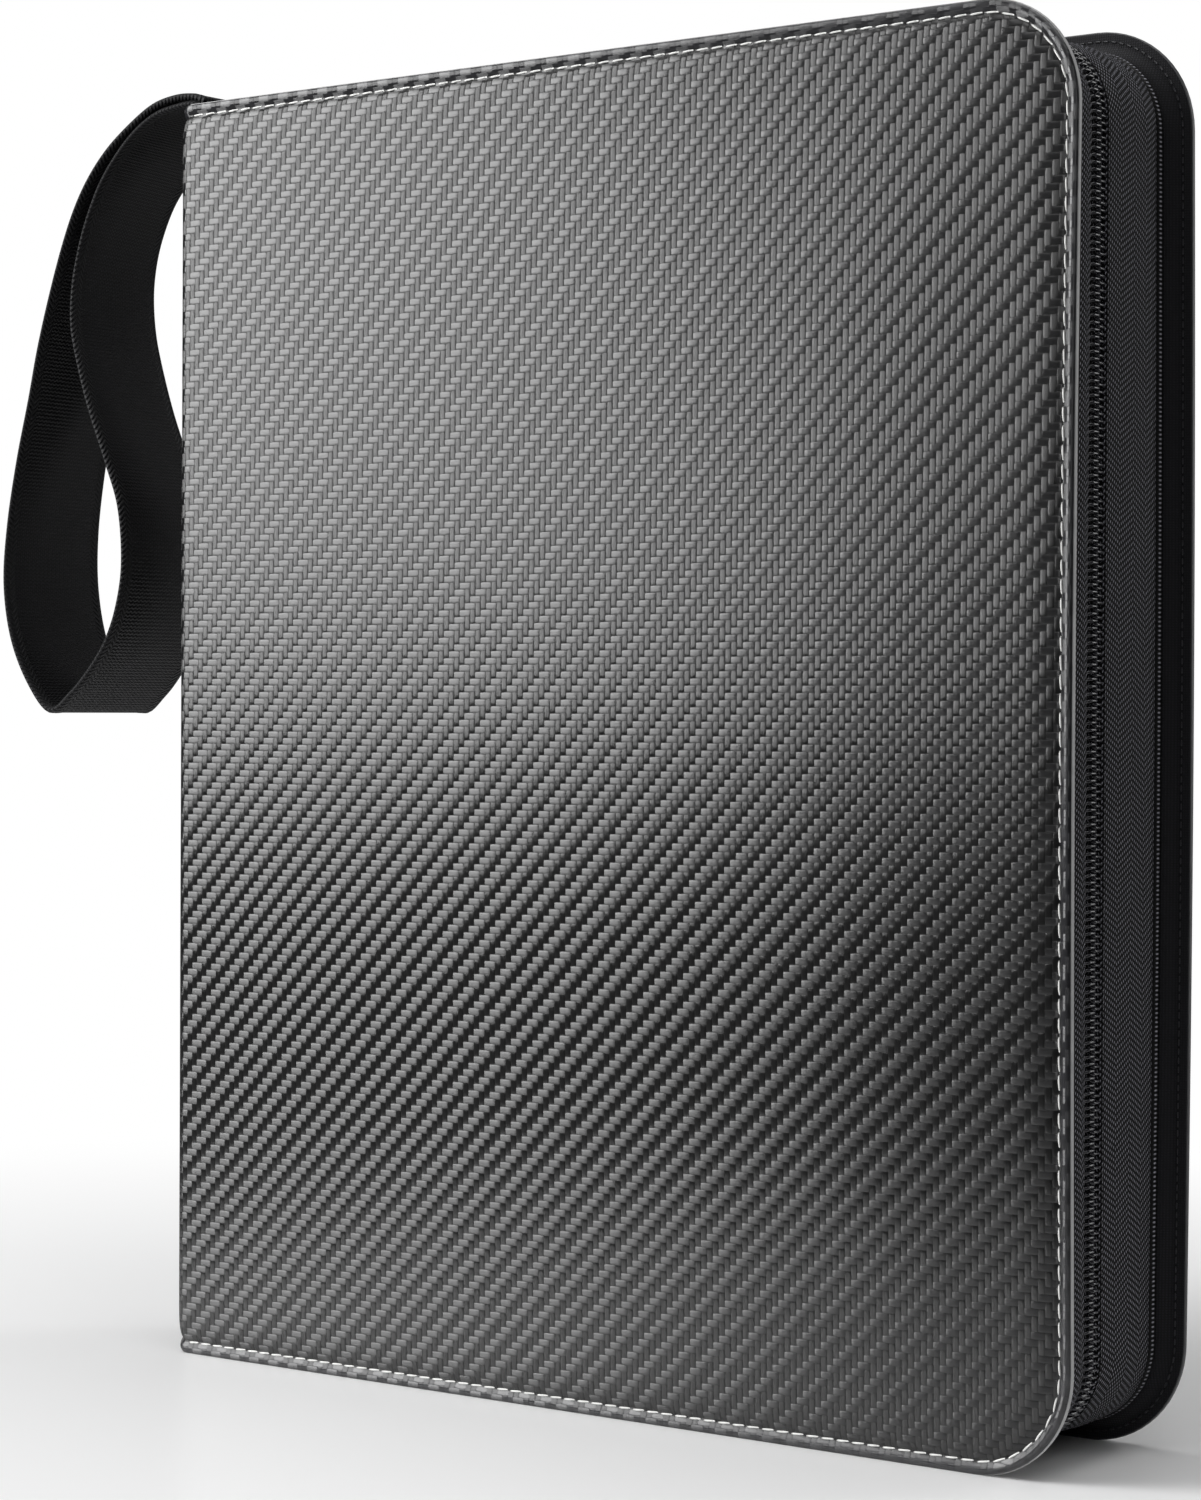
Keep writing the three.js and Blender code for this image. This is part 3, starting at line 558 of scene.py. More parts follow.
def filmMaterial(name, look):
    # Clear polypropylene film, rolled and welded: see-through and glossy with a faint milky haze, and
    # white dotted lines where a hot wheel has welded two films into pockets.
    material, tree = newMaterial(name)
    _, _, place = surfacePlaces(tree, "weave", 0.001)
    weld = addNode(tree, "ShaderNodeUVMap", {"uv_map": "weld"})
    near, run = (addNode(tree, "ShaderNodeSeparateXYZ", inputs={0: weld}, out=k) for k in (0, 1))
    line = addNode(tree, "ShaderNodeMapRange", {"interpolation_type": "SMOOTHSTEP"},
        {0: near, 1: look["weld"] * 0.4, 2: look["weld"], 3: 1.0, 4: 0.0})
    dots = mathStep(tree, "MULTIPLY", run, 2 * math.pi / look["dot"])
    dots = mathStep(tree, "SINE", dots)
    dots = mathStep(tree, "MULTIPLY_ADD", dots, 0.5, 0.5)
    mark = mathStep(tree, "MULTIPLY", line, dots)
    haze = addNode(tree, "ShaderNodeTexNoise", inputs={"Vector": place, "Scale": 0.05, "Detail": 3.0})
    body = addNode(tree, "ShaderNodeMapRange", inputs={0: haze, 1: 0.3, 2: 0.7, 3: look["clear"] - 0.01,
        4: look["clear"] + 0.02})
    alpha = mathStep(tree, "MULTIPLY_ADD", mark, 0.55, body)
    finishMaterial(tree, {"Base Color": hexColour(look["tone"]), "Roughness": look["rough"], "Alpha": alpha,
        "IOR": 1.49}, (mark, 0.6, 0.0001))
    return material


looks = {
    "twill": {"tow": 0.0017, "crown": 3.4, "dip": 0.4, "relief": 0.00013, "fibreRelief": 0.06,
        "borderWeave": 0.12,
              # the weft's slightly lighter colour is a painted highlight, and the near-black colour between
              # tows is painted shade
              "warp": "#0d0d0d", "weft": "#101011", "gap": "#030303", "border": "#232326", "rough": 0.31,
              "specular": 0.66, "stretch": 1.0},
    # the lining's high colour is a faint painted highlight on its thread crowns
    "lining": {"thread": 0.0006, "beads": 1.0, "beadDepth": 0.4, "fuzz": 0.5, "low": "#08080a",
        "high": "#1b1b20",
               "rough": 0.85, "sheen": 0.12, "specular": 0.25, "relief": 0.00008},
    # the tape's high colour is a painted highlight on the thread crowns only
    "tape": {"thread": 0.0014, "beads": 2.0, "beadDepth": 0.5, "fuzz": 0.12, "columns": 0.0056,
        "from": 0.55, "lean": 1.43,
             "low": "#010102", "high": "#a4a4ad", "rough": 0.7, "sheen": 0.0, "specular": 0.14,
             "relief": 0.00022},
    # the piping's high colour is a painted highlight on the rib crowns only
    "piping": {"from": 0.5, "thread": 0.00105, "beads": 0.45, "beadDepth": 0.5, "fuzz": 0.15,
        "low": "#010102", "high": "#9a9aa2",
               "rough": 0.6, "sheen": 0.0, "specular": 0.2, "relief": 0.0003},
    "webbing": {"half": 19.0, "selvedge": 3.6, "yarn": 0.8, "rib": 1.05, "stitch": 1.5,
                "low": "#010102", "high": "#111114", "relief": 0.0003},
    # the back's cut edge: the same cut PU as the front's, painted darker as painted shade
    "shadedBackCutEdge": {"low": "#2e2e30", "high": "#48484a", "rough": 0.45, "grain": 0.0006, "relief": 0.00004},
    "cutEdge": {"low": "#8b8b8c", "high": "#b4b4b4", "rough": 0.45, "grain": 0.0006, "relief": 0.00004},
    "thread": {"low": "#d9d9d6", "high": "#f4f4f2", "rough": 0.5, "grain": 0.0003, "relief": 0.00005},
    "coil": {"low": "#1c1c20", "high": "#2e2e33", "rough": 0.2, "grain": 0.0004, "relief": 0.00001,
        "ior": 1.53},
    "darkThread": {"low": "#161619", "high": "#2a2a2f", "rough": 0.5, "grain": 0.0003, "relief": 0.00004},
    "nickel": {"low": "#b9b7b2", "high": "#d2d0cb", "rough": 0.2, "metal": 1.0, "grain": 0.0012,
        "relief": 0.000008},
    "blackMetal": {"low": "#1b1b1d", "high": "#2a2a2d", "rough": 0.34, "grain": 0.0008, "relief": 0.00001},
    "rubber": {"low": "#101012", "high": "#1a1a1d", "rough": 0.55, "grain": 0.0004, "relief": 0.00002},
    "board": {"low": "#77736c", "high": "#8d8980", "rough": 0.9, "grain": 0.0009, "relief": 0.00004},
    "foam": {"low": "#2b2b2e", "high": "#3a3a3d", "rough": 0.95, "grain": 0.0007, "relief": 0.0001},
    "film": {"tone": "#eef1f3", "rough": 0.14, "clear": 0.05, "weld": 0.0012, "dot": 0.0016},
    "backing": {"low": "#c9ccce", "high": "#d6d9db", "rough": 0.3, "grain": 0.0008, "relief": 0.00001,
        "alpha": 0.3},
}
twill = twillMaterial("embossedPuTwill", looks["twill"])
liningCloth = clothMaterial("brushedNylonLining", looks["lining"])
tapeCloth = clothMaterial("herringboneZipTapePaintedHighlights", looks["tape"])
pipingCloth = clothMaterial("corduroyPipingPaintedHighlights", looks["piping"])
webbing = webbingMaterial("wovenNylonWebbing", looks["webbing"])
cutEdge = plainMaterial("cutPuEdge", looks["cutEdge"])
# a darker copy of the cut edge material, painted shade for the back cover's edge
shadedBackCutEdge = plainMaterial("paintedShadePuEdge", looks["shadedBackCutEdge"])
whiteThread = plainMaterial("waxedPolyesterThread", looks["thread"])
darkThread = plainMaterial("blackSewingThread", looks["darkThread"])
coilNylon = plainMaterial("extrudedNylonCoil", looks["coil"])
nickel = plainMaterial("nickelPlatedSteel", looks["nickel"])
blackMetal = plainMaterial("lacqueredZincCasting", looks["blackMetal"])
rubber = plainMaterial("mouldedRubber", looks["rubber"])
greyboard = plainMaterial("pressedGreyboard", looks["board"])
foam = plainMaterial("polyurethaneFoam", looks["foam"])
clearFilm = filmMaterial("weldedPolypropyleneFilm", looks["film"])
backing = plainMaterial("clearPolypropyleneSheet", looks["backing"])
print("materials made")


view = {"place": (678.0, -725.3, 171.85), "azimuth": 37.50, "elevation": 0.69, "roll": 0.28, "lens": 87.6}
az, el, roll = (math.radians(view[k]) for k in ("azimuth", "elevation", "roll"))
back = np.array([math.sin(az) * math.cos(el), -math.cos(az) * math.cos(el), math.sin(el)])
right = np.cross(-back, [0, 0, 1])
right /= np.linalg.norm(right)
up = np.cross(right, -back)
acrossWay = right * math.cos(roll) + up * math.sin(roll)
upWay = up * math.cos(roll) - right * math.sin(roll)
cameraData = bpy.data.cameras.new("camera")
cameraData.lens, cameraData.sensor_width = view["lens"], 36.0
camera = bpy.data.objects.new("camera", cameraData)
placing = Matrix.Identity(4)
for column, values in enumerate((acrossWay, upWay, back, toRow(view["place"]))):
    for row in range(3):
        placing[row][column] = values[row]
camera.matrix_world = placing
cameraData.clip_start, cameraData.clip_end = 0.01, 50
bpy.context.scene.collection.objects.link(camera)
bpy.context.scene.camera = camera

studio = {
    # name: place, aim, width, height, watts
    "leftPanel": ((-0.98, -0.803, 0.785), (-0.43, -0.063, 0.785), 0.75, 1.30, 32.0),
    "rightPanel": ((0.95, 1.0, 0.50), (0.17, 0.0, 0.17), 0.40, 1.0, 5.0),
    "topPanel": ((0.1, -0.1, 1.7), (0.05, 0.05, 0.0), 1.6, 1.6, 22.0),
    "zipLight": ((0.95, -1.15, 0.62), (0.16, 0.0, 0.17), 0.12, 0.5, 2.0),
}
for name, (place, aim, width, height, watts) in studio.items():
    light = bpy.data.lights.new(name, "AREA")
    light.shape, light.size, light.size_y, light.energy = "RECTANGLE", width, height, watts
    lamp = bpy.data.objects.new(name, light)
    lamp.visible_camera = False
    away = np.array(place) - np.array(aim)
    away /= np.linalg.norm(away)
    side = np.cross([0, 0, 1.0], away)
    side = side / np.linalg.norm(side) if np.linalg.norm(side) > 1e-3 else np.array([1.0, 0, 0])
    over = np.cross(away, side)
    pose = Matrix.Identity(4)
    for k in range(3):
        pose[k][0], pose[k][1], pose[k][2], pose[k][3] = side[k], over[k], away[k], place[k]
    lamp.matrix_world = pose
    bpy.context.scene.collection.objects.link(lamp)

world = bpy.data.worlds.new("studio")
bpy.context.scene.world = world
world.use_nodes = True
world.node_tree.nodes.clear()
seen = addNode(world.node_tree, "ShaderNodeLightPath", out="Is Camera Ray")
tone = addNode(world.node_tree, mixNode, {"data_type": "RGBA"}, {
    0: seen, 6: (0.07, 0.07, 0.072, 1), 7: (1.0, 1.0, 1.0, 1)}, out=2)
shine = addNode(world.node_tree, "ShaderNodeBackground", inputs={"Color": tone, "Strength": 1.0})
addNode(world.node_tree, "ShaderNodeOutputWorld", inputs={"Surface": shine})
bpy.context.scene.view_settings.view_transform = "Standard"

floorMesh = bpy.data.meshes.new("floor")
floorMesh.from_pydata([(-8, -8, 0), (8, -8, 0), (8, 8, 0), (-8, 8, 0)], [], [(0, 1, 2, 3)])
floor = bpy.data.objects.new("floor", floorMesh)
floorLook, tree = newMaterial("paleSweep")
spot = addNode(tree, "ShaderNodeTexCoord", out="Object")
far = addNode(tree, "ShaderNodeVectorMath", {"operation": "LENGTH"}, {0: spot}, out="Value")
fade = addNode(tree, "ShaderNodeMapRange", {"interpolation_type": "SMOOTHSTEP"}, {0: far, 1: 0.14, 2: 0.55})
matt = addNode(tree, "ShaderNodeBsdfPrincipled", inputs={
    "Base Color": (0.9, 0.9, 0.9, 1), "Roughness": 0.28, "Specular IOR Level": 0.4})
glow = addNode(tree, "ShaderNodeEmission", inputs={"Color": (1, 1, 1, 1), "Strength": 1.0})
# far off, the sweep is white to look at but gives the binder no light from below
direct = addNode(tree, "ShaderNodeLightPath", out="Is Camera Ray")
dull = addNode(tree, "ShaderNodeBsdfDiffuse", inputs={"Color": (0.12, 0.12, 0.12, 1)})
distant = addNode(tree, "ShaderNodeMixShader", inputs={0: direct, 1: dull, 2: glow})
blendIn = addNode(tree, "ShaderNodeMixShader", inputs={0: fade, 1: matt, 2: distant})
addNode(tree, "ShaderNodeOutputMaterial", inputs={"Surface": blendIn})
floorMesh.materials.append(floorLook)
bpy.context.scene.collection.objects.link(floor)
print("camera, lights and floor set")


shell = {
    "insets": [0.0, 0.25, 0.6, 1.1, 1.7, 2.2, 2.55, 2.8, 3.0, 3.2, 3.5, 3.9, 4.6, 5.6, 7.0, 9.0, 12.0, 16.0],
    # how far the surface lies below the cover's face at those insets: rolled edge, pressed border, seam
    # groove, shoulder
    "depths": [1.15, 0.62, 0.42, 0.40, 0.52, 0.78, 1.02, 1.18, 1.22, 1.16, 0.98, 0.74, 0.48, 0.28, 0.14,
        0.05, 0.0, 0.0],
    "hingeRows": 9,
    "spineRows": 8,
    "spineDrop": 1.6,  # the spine's ends stand this much lower than the covers' corners
    "crown": 0.35,  # padding lifts the middle of each cover by this much
}
seam = {"inset": 3.0, "pitch": 4.2, "length": 3.6, "width": 0.52, "height": 0.5, "lift": 0.18,
    "knotInset": 2.2, "knotDepth": 2.62}
lining = {
    "insets": [0.05, 0.8, 1.6, 2.4, 3.0, 3.6, 4.4, 5.4, 6.6, 8.0, 12.0, 16.0],
    # how far the lining lies from the cover's face
    "depths": [2.2, 2.3, 2.4, 2.55, 2.7, 3.1, 3.8, 4.5, 4.95, 5.0, 5.0, 5.0],
    "thickness": 0.6,
}


# A cover's face: rings that follow the three sewn edges inwards, then straight columns between the top
# and bottom rings. depth is a function of the inset. Columns: x, y, z, u, v, inset.
def panelGrid(insets, depths, start, crown):
    part, share, counts = rimSteps(start)
    d = np.asarray(insets)[:, None].repeat(len(part), 1)
    x, z, _, _ = rimPoint(part[None].repeat(len(insets), 0), share[None].repeat(len(insets), 0), d, start)
    rings = np.stack([x, -case["half"] + np.interp(d, insets, depths), z, x, z, d], -1)
    ringQuads = gridQuads(len(insets), len(part))
    k = counts[0] + counts[1] + 1  # columns from the hinge round to the end of the top corner
    rows = (z[-1, k - 1] - z[-1, k - 1:k + counts[2]]) / (z[-1, k - 1] - z[-1, k - 1 + counts[2]])
    topX, topZ = x[-1, :k], z[-1, :k]
    lowZ = case["height"] - topZ
    cx = topX[:, None].repeat(len(rows), 1)
    cz = topZ[:, None] + (lowZ - topZ)[:, None] * rows[None]
    inner = np.minimum(np.minimum(cz, case["height"] - cz), case["width"] - cx)
    columns = np.stack([cx, np.full_like(cx, -case["half"] + depths[-1]), cz, cx, cz,
        np.maximum(inner, insets[-1])], -1)
    points, quads = weld([(rings.reshape(-1, 6), ringQuads),
        (columns.reshape(-1, 6), gridQuads(k, len(rows))[:, ::-1])])
    reach = np.minimum(np.minimum(points[:, 2], case["height"] - points[:, 2]), case["width"]
        - points[:, 0])
    near = smooth((points[:, 0] - start) / 40)
    points[:, 1] -= crown * smooth((reach - 12) / 60) * near
    hingeZ = points[np.abs(points[:, 0] - start) < 1e-6]
    return points, quads, hingeZ[np.argsort(-hingeZ[:, 2])]


# The leatherette of one side: the cover's face, a quarter turn round the hinge corner, and half the
# spine. u is the distance along the leatherette, so the weave runs round the corner unbroken.
def makeShell(side):
    name = "front" if side < 0 else "back"
    radius = case["hingeRadius"]
    face, faceQuads, edge = panelGrid(shell["insets"], shell["depths"], radius, shell["crown"])
    turn = np.linspace(0, np.pi / 2, shell["hingeRows"])[:, None]
    run = turn * radius
    below = edge[None, :, 1] + case["half"]  # depth of the border and groove carries on round the corner
    lean = radius - below
    shortfall = 1 - shell["spineDrop"] * smooth(turn / (np.pi / 2)) / (case["height"] / 2)
    bentZ = case["height"] / 2 + (edge[None, :, 2] - case["height"] / 2) * shortfall
    bend = np.stack([radius - lean * np.sin(turn), -case["half"] + radius - lean * np.cos(turn), bentZ,
        radius - run + 0 * bentZ, bentZ, edge[None, :, 5] + 0 * bentZ], -1)
    ys = np.linspace(-case["half"] + radius, 0, shell["spineRows"])[:, None]
    flatX = below + 0 * ys
    flat = np.stack([flatX, ys + 0 * flatX, bentZ[-1:] + 0 * flatX, radius - np.pi / 2 * radius
        - (ys + case["half"] - radius) + 0 * flatX, bentZ[-1:] + 0 * flatX, edge[None, :, 5] + 0 * flatX],
        -1)
    columns = edge.shape[0]
    parts = [(face, facing(face, faceQuads, (0, -1, 0)))]
    for block, outward in ((bend, (-1, -1, 0)), (flat, (-1, 0, 0))):
        rows = block.reshape(-1, 6)
        parts.append((rows, facing(rows, gridQuads(block.shape[0], columns), outward)))
    points, quads = weld(parts)
    closed, faces = closeSheet(points[:, :3], quads, case["skin"])
    across = points[:, 3]
    if side > 0:  # the back's weave carries on from the front's at the middle of the spine
        across = 2 * flat[-1, 0, 3] - across
    weave = np.concatenate([np.stack([across, points[:, 4]], -1)] * 2) * 0.001
    rim = np.stack([np.concatenate([points[:, 5]] * 2) * 0.001, np.zeros(2 * len(points))], -1)
    closed, faces = mirrorPiece(swell(closed), faces, side)
    piece = makePiece(f"{name}_leatherette", closed, faces, twill,
        {"weave": weave, "rim": rim})
    piece.data.set_sharp_from_angle(angle=math.radians(60))
    h = case["half"]
    start = toRow([0.0, side * (h - radius), 165.0])
    end = toRow([radius + 1, side * h, 165.0])
    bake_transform(piece)
    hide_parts(f"{name}_cover_skin", *(["spine_skin"] if side < 0 else []))
    return piece


# The raw edge of the leatherette, rolled slightly outwards, between the face and the lining.
def makeCutEdge(side):
    name = "front" if side < 0 else "back"
    h = case["half"]
    a = np.linspace(-np.pi / 2, np.pi / 2, 7)
    low, high = -h + 1.02, -h + 2.25
    mid, half = (low + high) / 2, (high - low) / 2
    outer = np.stack([-0.12 * np.cos(a) - 0.02, mid + half * np.sin(a)], -1)
    inner = np.array([[0.5, high - 0.1], [0.5, low + 0.1]])
    points, faces, uv = rimSweep(np.concatenate([outer, inner]), case["hingeRadius"])
    points, faces = mirrorPiece(swell(points), faces, side)
    # the back cover's edge takes the darker copy, painted shade
    piece = makePiece(f"{name}_cut_edge", points, faces, cutEdge if side < 0 else shadedBackCutEdge,
        {"weave": uv * 0.001})
    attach(piece, f"{name}_cover")


# Topstitching: each stitch is a short spindle of thread that arches out of the groove at its middle
# and leans a little across it.
def makeSeam(side):
    name = "front" if side < 0 else "back"
    points, quads, tips = bead(seam["length"], seam["width"], seam["height"], rings=6, sides=6, power=0.45)
    points = points.copy()
    share = points[:, 0] / seam["length"]
    points[:, 2] -= seam["lift"] * np.cos(np.pi * share)
    points[:, 1] += 0.22 * share
    places = rimSpaced(seam["inset"], case["hingeRadius"] - 2.0, seam["pitch"], 1.0)
    depth = -case["half"] + np.interp(seam["inset"], shell["insets"], shell["depths"]) + 0.02
    out, faces = scatterOnRim((points, quads, tips), places, depth)
    out, faces = mirrorPiece(swell(out), faces, side)
    piece = makePiece(f"{name}_topstitching", out, faces, whiteThread)
    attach(piece, f"{name}_cover")
    # the same seam's underside shows on the lining as small black knots
    places = rimSpaced(seam["knotInset"], case["hingeRadius"] + 3, seam["pitch"] / 2, 1.0)
    knot = bead(1.5, 0.5, 0.55, rings=4, sides=6, power=0.6)
    out, faces = scatterOnRim(knot, places, -case["half"] + seam["knotDepth"])
    out, faces = mirrorPiece(swell(out), faces, side)
    piece = makePiece(f"{name}_bobbin_stitches", out, faces, darkThread)
    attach(piece, f"{name}_cover")


# The lining of a cover: the same rings, closer to the middle, rising to the sewn edge.
def makeLining(side):
    name = "front" if side < 0 else "back"
    points, quads, _ = panelGrid(lining["insets"], lining["depths"], 6.3, 0.0)
    flat = points[:, :3]
    closed, faces = closeSheet(flat, facing(flat, quads, (0, 1, 0)), lining["thickness"])
    weave = np.concatenate([points[:, 3:5]] * 2) * 0.001
    closed, faces = mirrorPiece(swell(closed), faces, side)
    piece = makePiece(f"{name}_lining", closed, faces, liningCloth, {"weave": weave})
    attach(piece, f"{name}_cover")
    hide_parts(f"{name}_cover_lining")
    return piece


# Foam between leatherette and board: a thin pad with rounded edges and a slight crown.
def makePadding(side):
    name = "front" if side < 0 else "back"
    points, quads, _ = panelGrid([7.5, 8.5, 11.0, 16.0], [1.75, 1.35, 1.05, 1.0], 9.0, shell["crown"])
    flat = points[:, :3]
    closed, faces = closeSheet(flat, facing(flat, quads, (0, -1, 0)), 1.0)
    closed, faces = mirrorPiece(swell(closed), faces, side)
    piece = makePiece(f"{name}_foam", closed, faces, foam)
    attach(piece, f"{name}_cover")
    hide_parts(f"{name}_cover_padding")
    # the board under the foam takes the same bow
    points, quads, _ = panelGrid([6.5, 9.0, 16.0], [2.5, 2.5, 2.5], 12.5, 0.0)
    flat = points[:, :3]
    closed, faces = closeSheet(flat, facing(flat, quads, (0, -1, 0)), 1.5)
    closed, faces = mirrorPiece(swell(closed), faces, side)
    piece = makePiece(f"{name}_board", closed, faces, greyboard)
    piece.data.set_sharp_from_angle(angle=math.radians(60))
    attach(piece, f"{name}_cover")
    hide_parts(f"{name}_cover_board")


# A flat sheet over a y by z (or x) rectangle, given as corner points, closed with a square rim all round.
def flatSheet(low, high, axis, thickness, steps, outward):
    spans = [k for k in range(3) if k != axis]
    a, b = (np.linspace(low[k], high[k], steps[n]) for n, k in enumerate(spans))
    grid = np.zeros((steps[0], steps[1], 3))
    grid[..., spans[0]], grid[..., spans[1]], grid[..., axis] = a[:, None], b[None, :], low[axis]
    points = grid.reshape(-1, 3)
    quads = facing(points, gridQuads(*steps), outward)
    closed, faces = closeSheet(points, quads, thickness)
    return closed, faces, np.concatenate([points[:, spans]] * 2) * 0.001


def makeSpineInside():
    low, high = (np.array(v) * 1000 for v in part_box("spine_lining"))
    points, faces, uv = flatSheet((5.0, low[1], 1.5), (5.0, high[1], case["height"] - 1.5), 0, 0.7,
        (14, 60), (1, 0, 0))
    piece = makePiece("spine_inner_lining", points, faces, liningCloth, {"weave": uv})
    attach(piece, "spine")
    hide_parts("spine_lining")
    points, faces, _ = flatSheet((1.15, -22, 2.5), (1.15, 22, case["height"] - 26), 0, 1.0, (12, 60),
        (-1, 0, 0))
    piece = makePiece("spine_foam", points, faces, foam)
    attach(piece, "spine")
    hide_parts("spine_padding")
    # hinge cloth: lies on the spine's lining and turns on to the cover's
    for side, name in ((-1, "front"), (1, "back")):
        path, run = through([(5.5, -17.8), (5.55, -21.5), (5.6, -24.0), (6.3, -24.55), (7.2, -23.4),
            (8.4, -21.72), (12.0, -21.6)], 0.6)
        zs = np.linspace(8.0, case["height"] - 8.0, 50)
        grid = np.zeros((len(path), len(zs), 3))
        grid[..., 0], grid[..., 1], grid[..., 2] = path[:, :1], path[:, 1:], zs[None]
        points = grid.reshape(-1, 3)
        closed, faces = closeSheet(points, facing(points, gridQuads(len(path), len(zs)), (1, 1, 0)), 0.35)
        uv = np.stack([np.broadcast_to(run[:, None], grid.shape[:2]),
            np.broadcast_to(zs[None], grid.shape[:2])], -1)
        closed, faces = mirrorPiece(closed, faces, side)
        piece = makePiece(f"{name}_hinge_strip", closed, faces, liningCloth,
            {"weave": np.concatenate([uv.reshape(-1, 2)] * 2) * 0.001})
        tuple(toRow([5.7, side * 23, 165.0]))
        tuple(toRow([8.2, side * 23, 165.0]))
        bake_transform(piece)
        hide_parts(f"{name}_hinge_cloth")


for side in (-1, 1):
    makeShell(side)
    makeCutEdge(side)
    makeSeam(side)
    makeLining(side)
    makePadding(side)
makeSpineInside()
print("covers made")


wall = {
    "inset": 5.5, "start": 14.0, "thickness": 0.55,
    "frontEdge": -17.9, "shadedBackCutEdge": 17.9, "tuck": 1.45,  # tuck: how far the tapes dip under the coil
    "belly": 0.5,
}
coil = {"pitch": 1.63, "reach": 3.35, "across": 0.78, "height": 0.95, "overlap": 0.75, "inset": 5.95}


# A tape's section as (inset, y): a shallow outward belly between the seam and the coil, then a dip
# under the coil, closed by the same line moved in by the cloth's thickness.
def tapeSection(edge, side):
    near = zipMiddle + side * (coil["reach"] + 0.6)
    ys = np.concatenate([np.linspace(edge, near, 26), near - side
        * np.array([0.5, 1.0, 1.8, 2.6, 3.4, 3.9])])
    t = np.clip((ys - edge) / (near - edge), 0, 1)
    under = smooth((side * (near - ys)) / 1.2)
    inset = wall["inset"] - wall["belly"] * np.sin(np.pi * t) * (1 - under) + wall["tuck"] * under
    outer = np.stack([inset, ys], -1)
    return np.concatenate([outer, (outer + [wall["thickness"], 0])[::-1]])


def makeTape(side):
    name = "front" if side < 0 else "back"
    section = tapeSection(wall["frontEdge"] if side < 0 else wall["shadedBackCutEdge"], side)
    points, faces, uv = rimSweep(section, wall["start"])
    piece = makePiece(f"{name}_tape", swell(points), faces, tapeCloth, {"weave": uv * 0.001})
    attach(piece, f"{name}_cover")
    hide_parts(f"{name}_zip_tape")


# Piping: an oval cord covered in ribbed cloth, sewn where the wall meets the cover, with its flange
# running into the seam.
def makePiping(side):
    name = "front" if side < 0 else "back"
    low, high = (v.y * 1000 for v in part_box(f"{name}_piping"))
    middle = (low + high) / 2
    a = np.linspace(0, 2 * np.pi, 20, endpoint=False)
    ring = np.stack([6.35 + 1.2 * np.cos(a), middle + (high - low) / 2 * np.sin(a)], -1)
    points, faces, uv = rimSweep(ring, wall["start"])
    piece = makePiece(f"{name}_ribbed_piping", swell(points), faces, pipingCloth,
        {"weave": uv * 0.001})
    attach(piece, f"{name}_cover")
    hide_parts(f"{name}_piping")
    t = np.linspace(0, 1, 8)
    line = np.stack([6.4 + 0.5 * t, middle + side * (1.2 + 1.6 * t)], -1)
    line = line[np.argsort(line[:, 1])]
    points, faces, uv = rimSweep(np.concatenate([line, (line + [0.5, 0])[::-1]]), wall["start"])
    flange = makePiece(f"{name}_piping_flange", swell(points), faces, liningCloth,
        {"weave": uv * 0.001})
    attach(flange, f"{name}_cover")


# One turn of the coil as seen from outside: a bar of nylon across the zip that climbs out of the tape,
# runs over, and ends in a wider head that hooks between the other side's heads.
def toothShape(side):
    across = np.array([-coil["reach"], -3.0, -2.5, -1.6, -0.4, 0.3, coil["overlap"]])
    rise = np.array([-0.75, -0.15, 0.22, 0.38, 0.34, 0.2, -0.15])
    size = np.array([0.62, 0.95, 1.0, 0.9, 0.95, 1.25, 0.7])
    slant = np.array([0.32, 0.22, 0.1, 0.0, 0.0, 0.0, 0.0])
    a = np.linspace(0, 2 * np.pi, 8, endpoint=False)
    body = np.zeros((len(across), 8, 3))
    body[..., 0] = slant[:, None] + size[:, None] * np.cos(a) * coil["across"] / 2
    body[..., 1] = rise[:, None] + size[:, None] * np.sin(a) * coil["height"] / 2
    body[..., 2] = -side * across[:, None]
    tips = np.array([[slant[0], rise[0] - 0.1, side * (coil["reach"] + 0.1)],
        [0, -0.1, -side * (coil["overlap"] + 0.12)]])
    points = np.concatenate([body.reshape(-1, 3), tips])
    quads = gridQuads(len(across), 8, wrapColumns=True)
    a0, end, last = np.arange(8), body.shape[0] * 8, (len(across) - 1) * 8
    fans = np.concatenate([np.stack([np.full(8, end), (a0 + 1) % 8, a0], -1),
        np.stack([np.full(8, end + 1), last + a0, last + (a0 + 1) % 8], -1)])
    return points, quads, fans


def makeCoil(side):
    name = "front" if side < 0 else "back"
    start = 17.0
    x, z, ox, oz, run = rimSpaced(coil["inset"], start, coil["pitch"] / 2, 0.5)
    pick = slice(0 if side < 0 else 1, None, 2)  # the two sides take turns
    places = tuple(v[pick] for v in (x, z, ox, oz, run))
    points, faces = scatterOnRim(toothShape(side), places, zipMiddle)
    piece = makePiece(f"{name}_coil_turns", swell(points), faces, coilNylon)
    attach(piece, f"{name}_cover")
    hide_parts(f"{name}_zip_coil")
    # the chain stitch that holds the coil down
    knot = bead(1.15, 0.42, 0.5, rings=4, sides=6, power=0.6)
    spun = knot[0].copy()
    spun[:, [0, 2]] = knot[0][:, [0, 2]] @ np.array([[0.86, 0.5 * side], [-0.5 * side, 0.86]])
    out, faces = scatterOnRim((spun, knot[1], knot[2]), rimSpaced(wall["inset"] + 0.1, start, coil["pitch"],
        0.5), zipMiddle + side * (coil["reach"] + 0.55))
    thread = makePiece(f"{name}_coil_stitches", swell(out), faces, darkThread)
    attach(thread, f"{name}_cover")


gusset = {
    "reach": 21.2,  # from the middle plane towards each cover
    "nearX": 5.35,
    "farX": 14.4,
    "inset": 6.2,
    "fold": 3.2,  # depth of the fold
    "thickness": 0.5,
    "blend": (12.5, 19.5),  # two places from the middle plane, between the spine and the cover
}
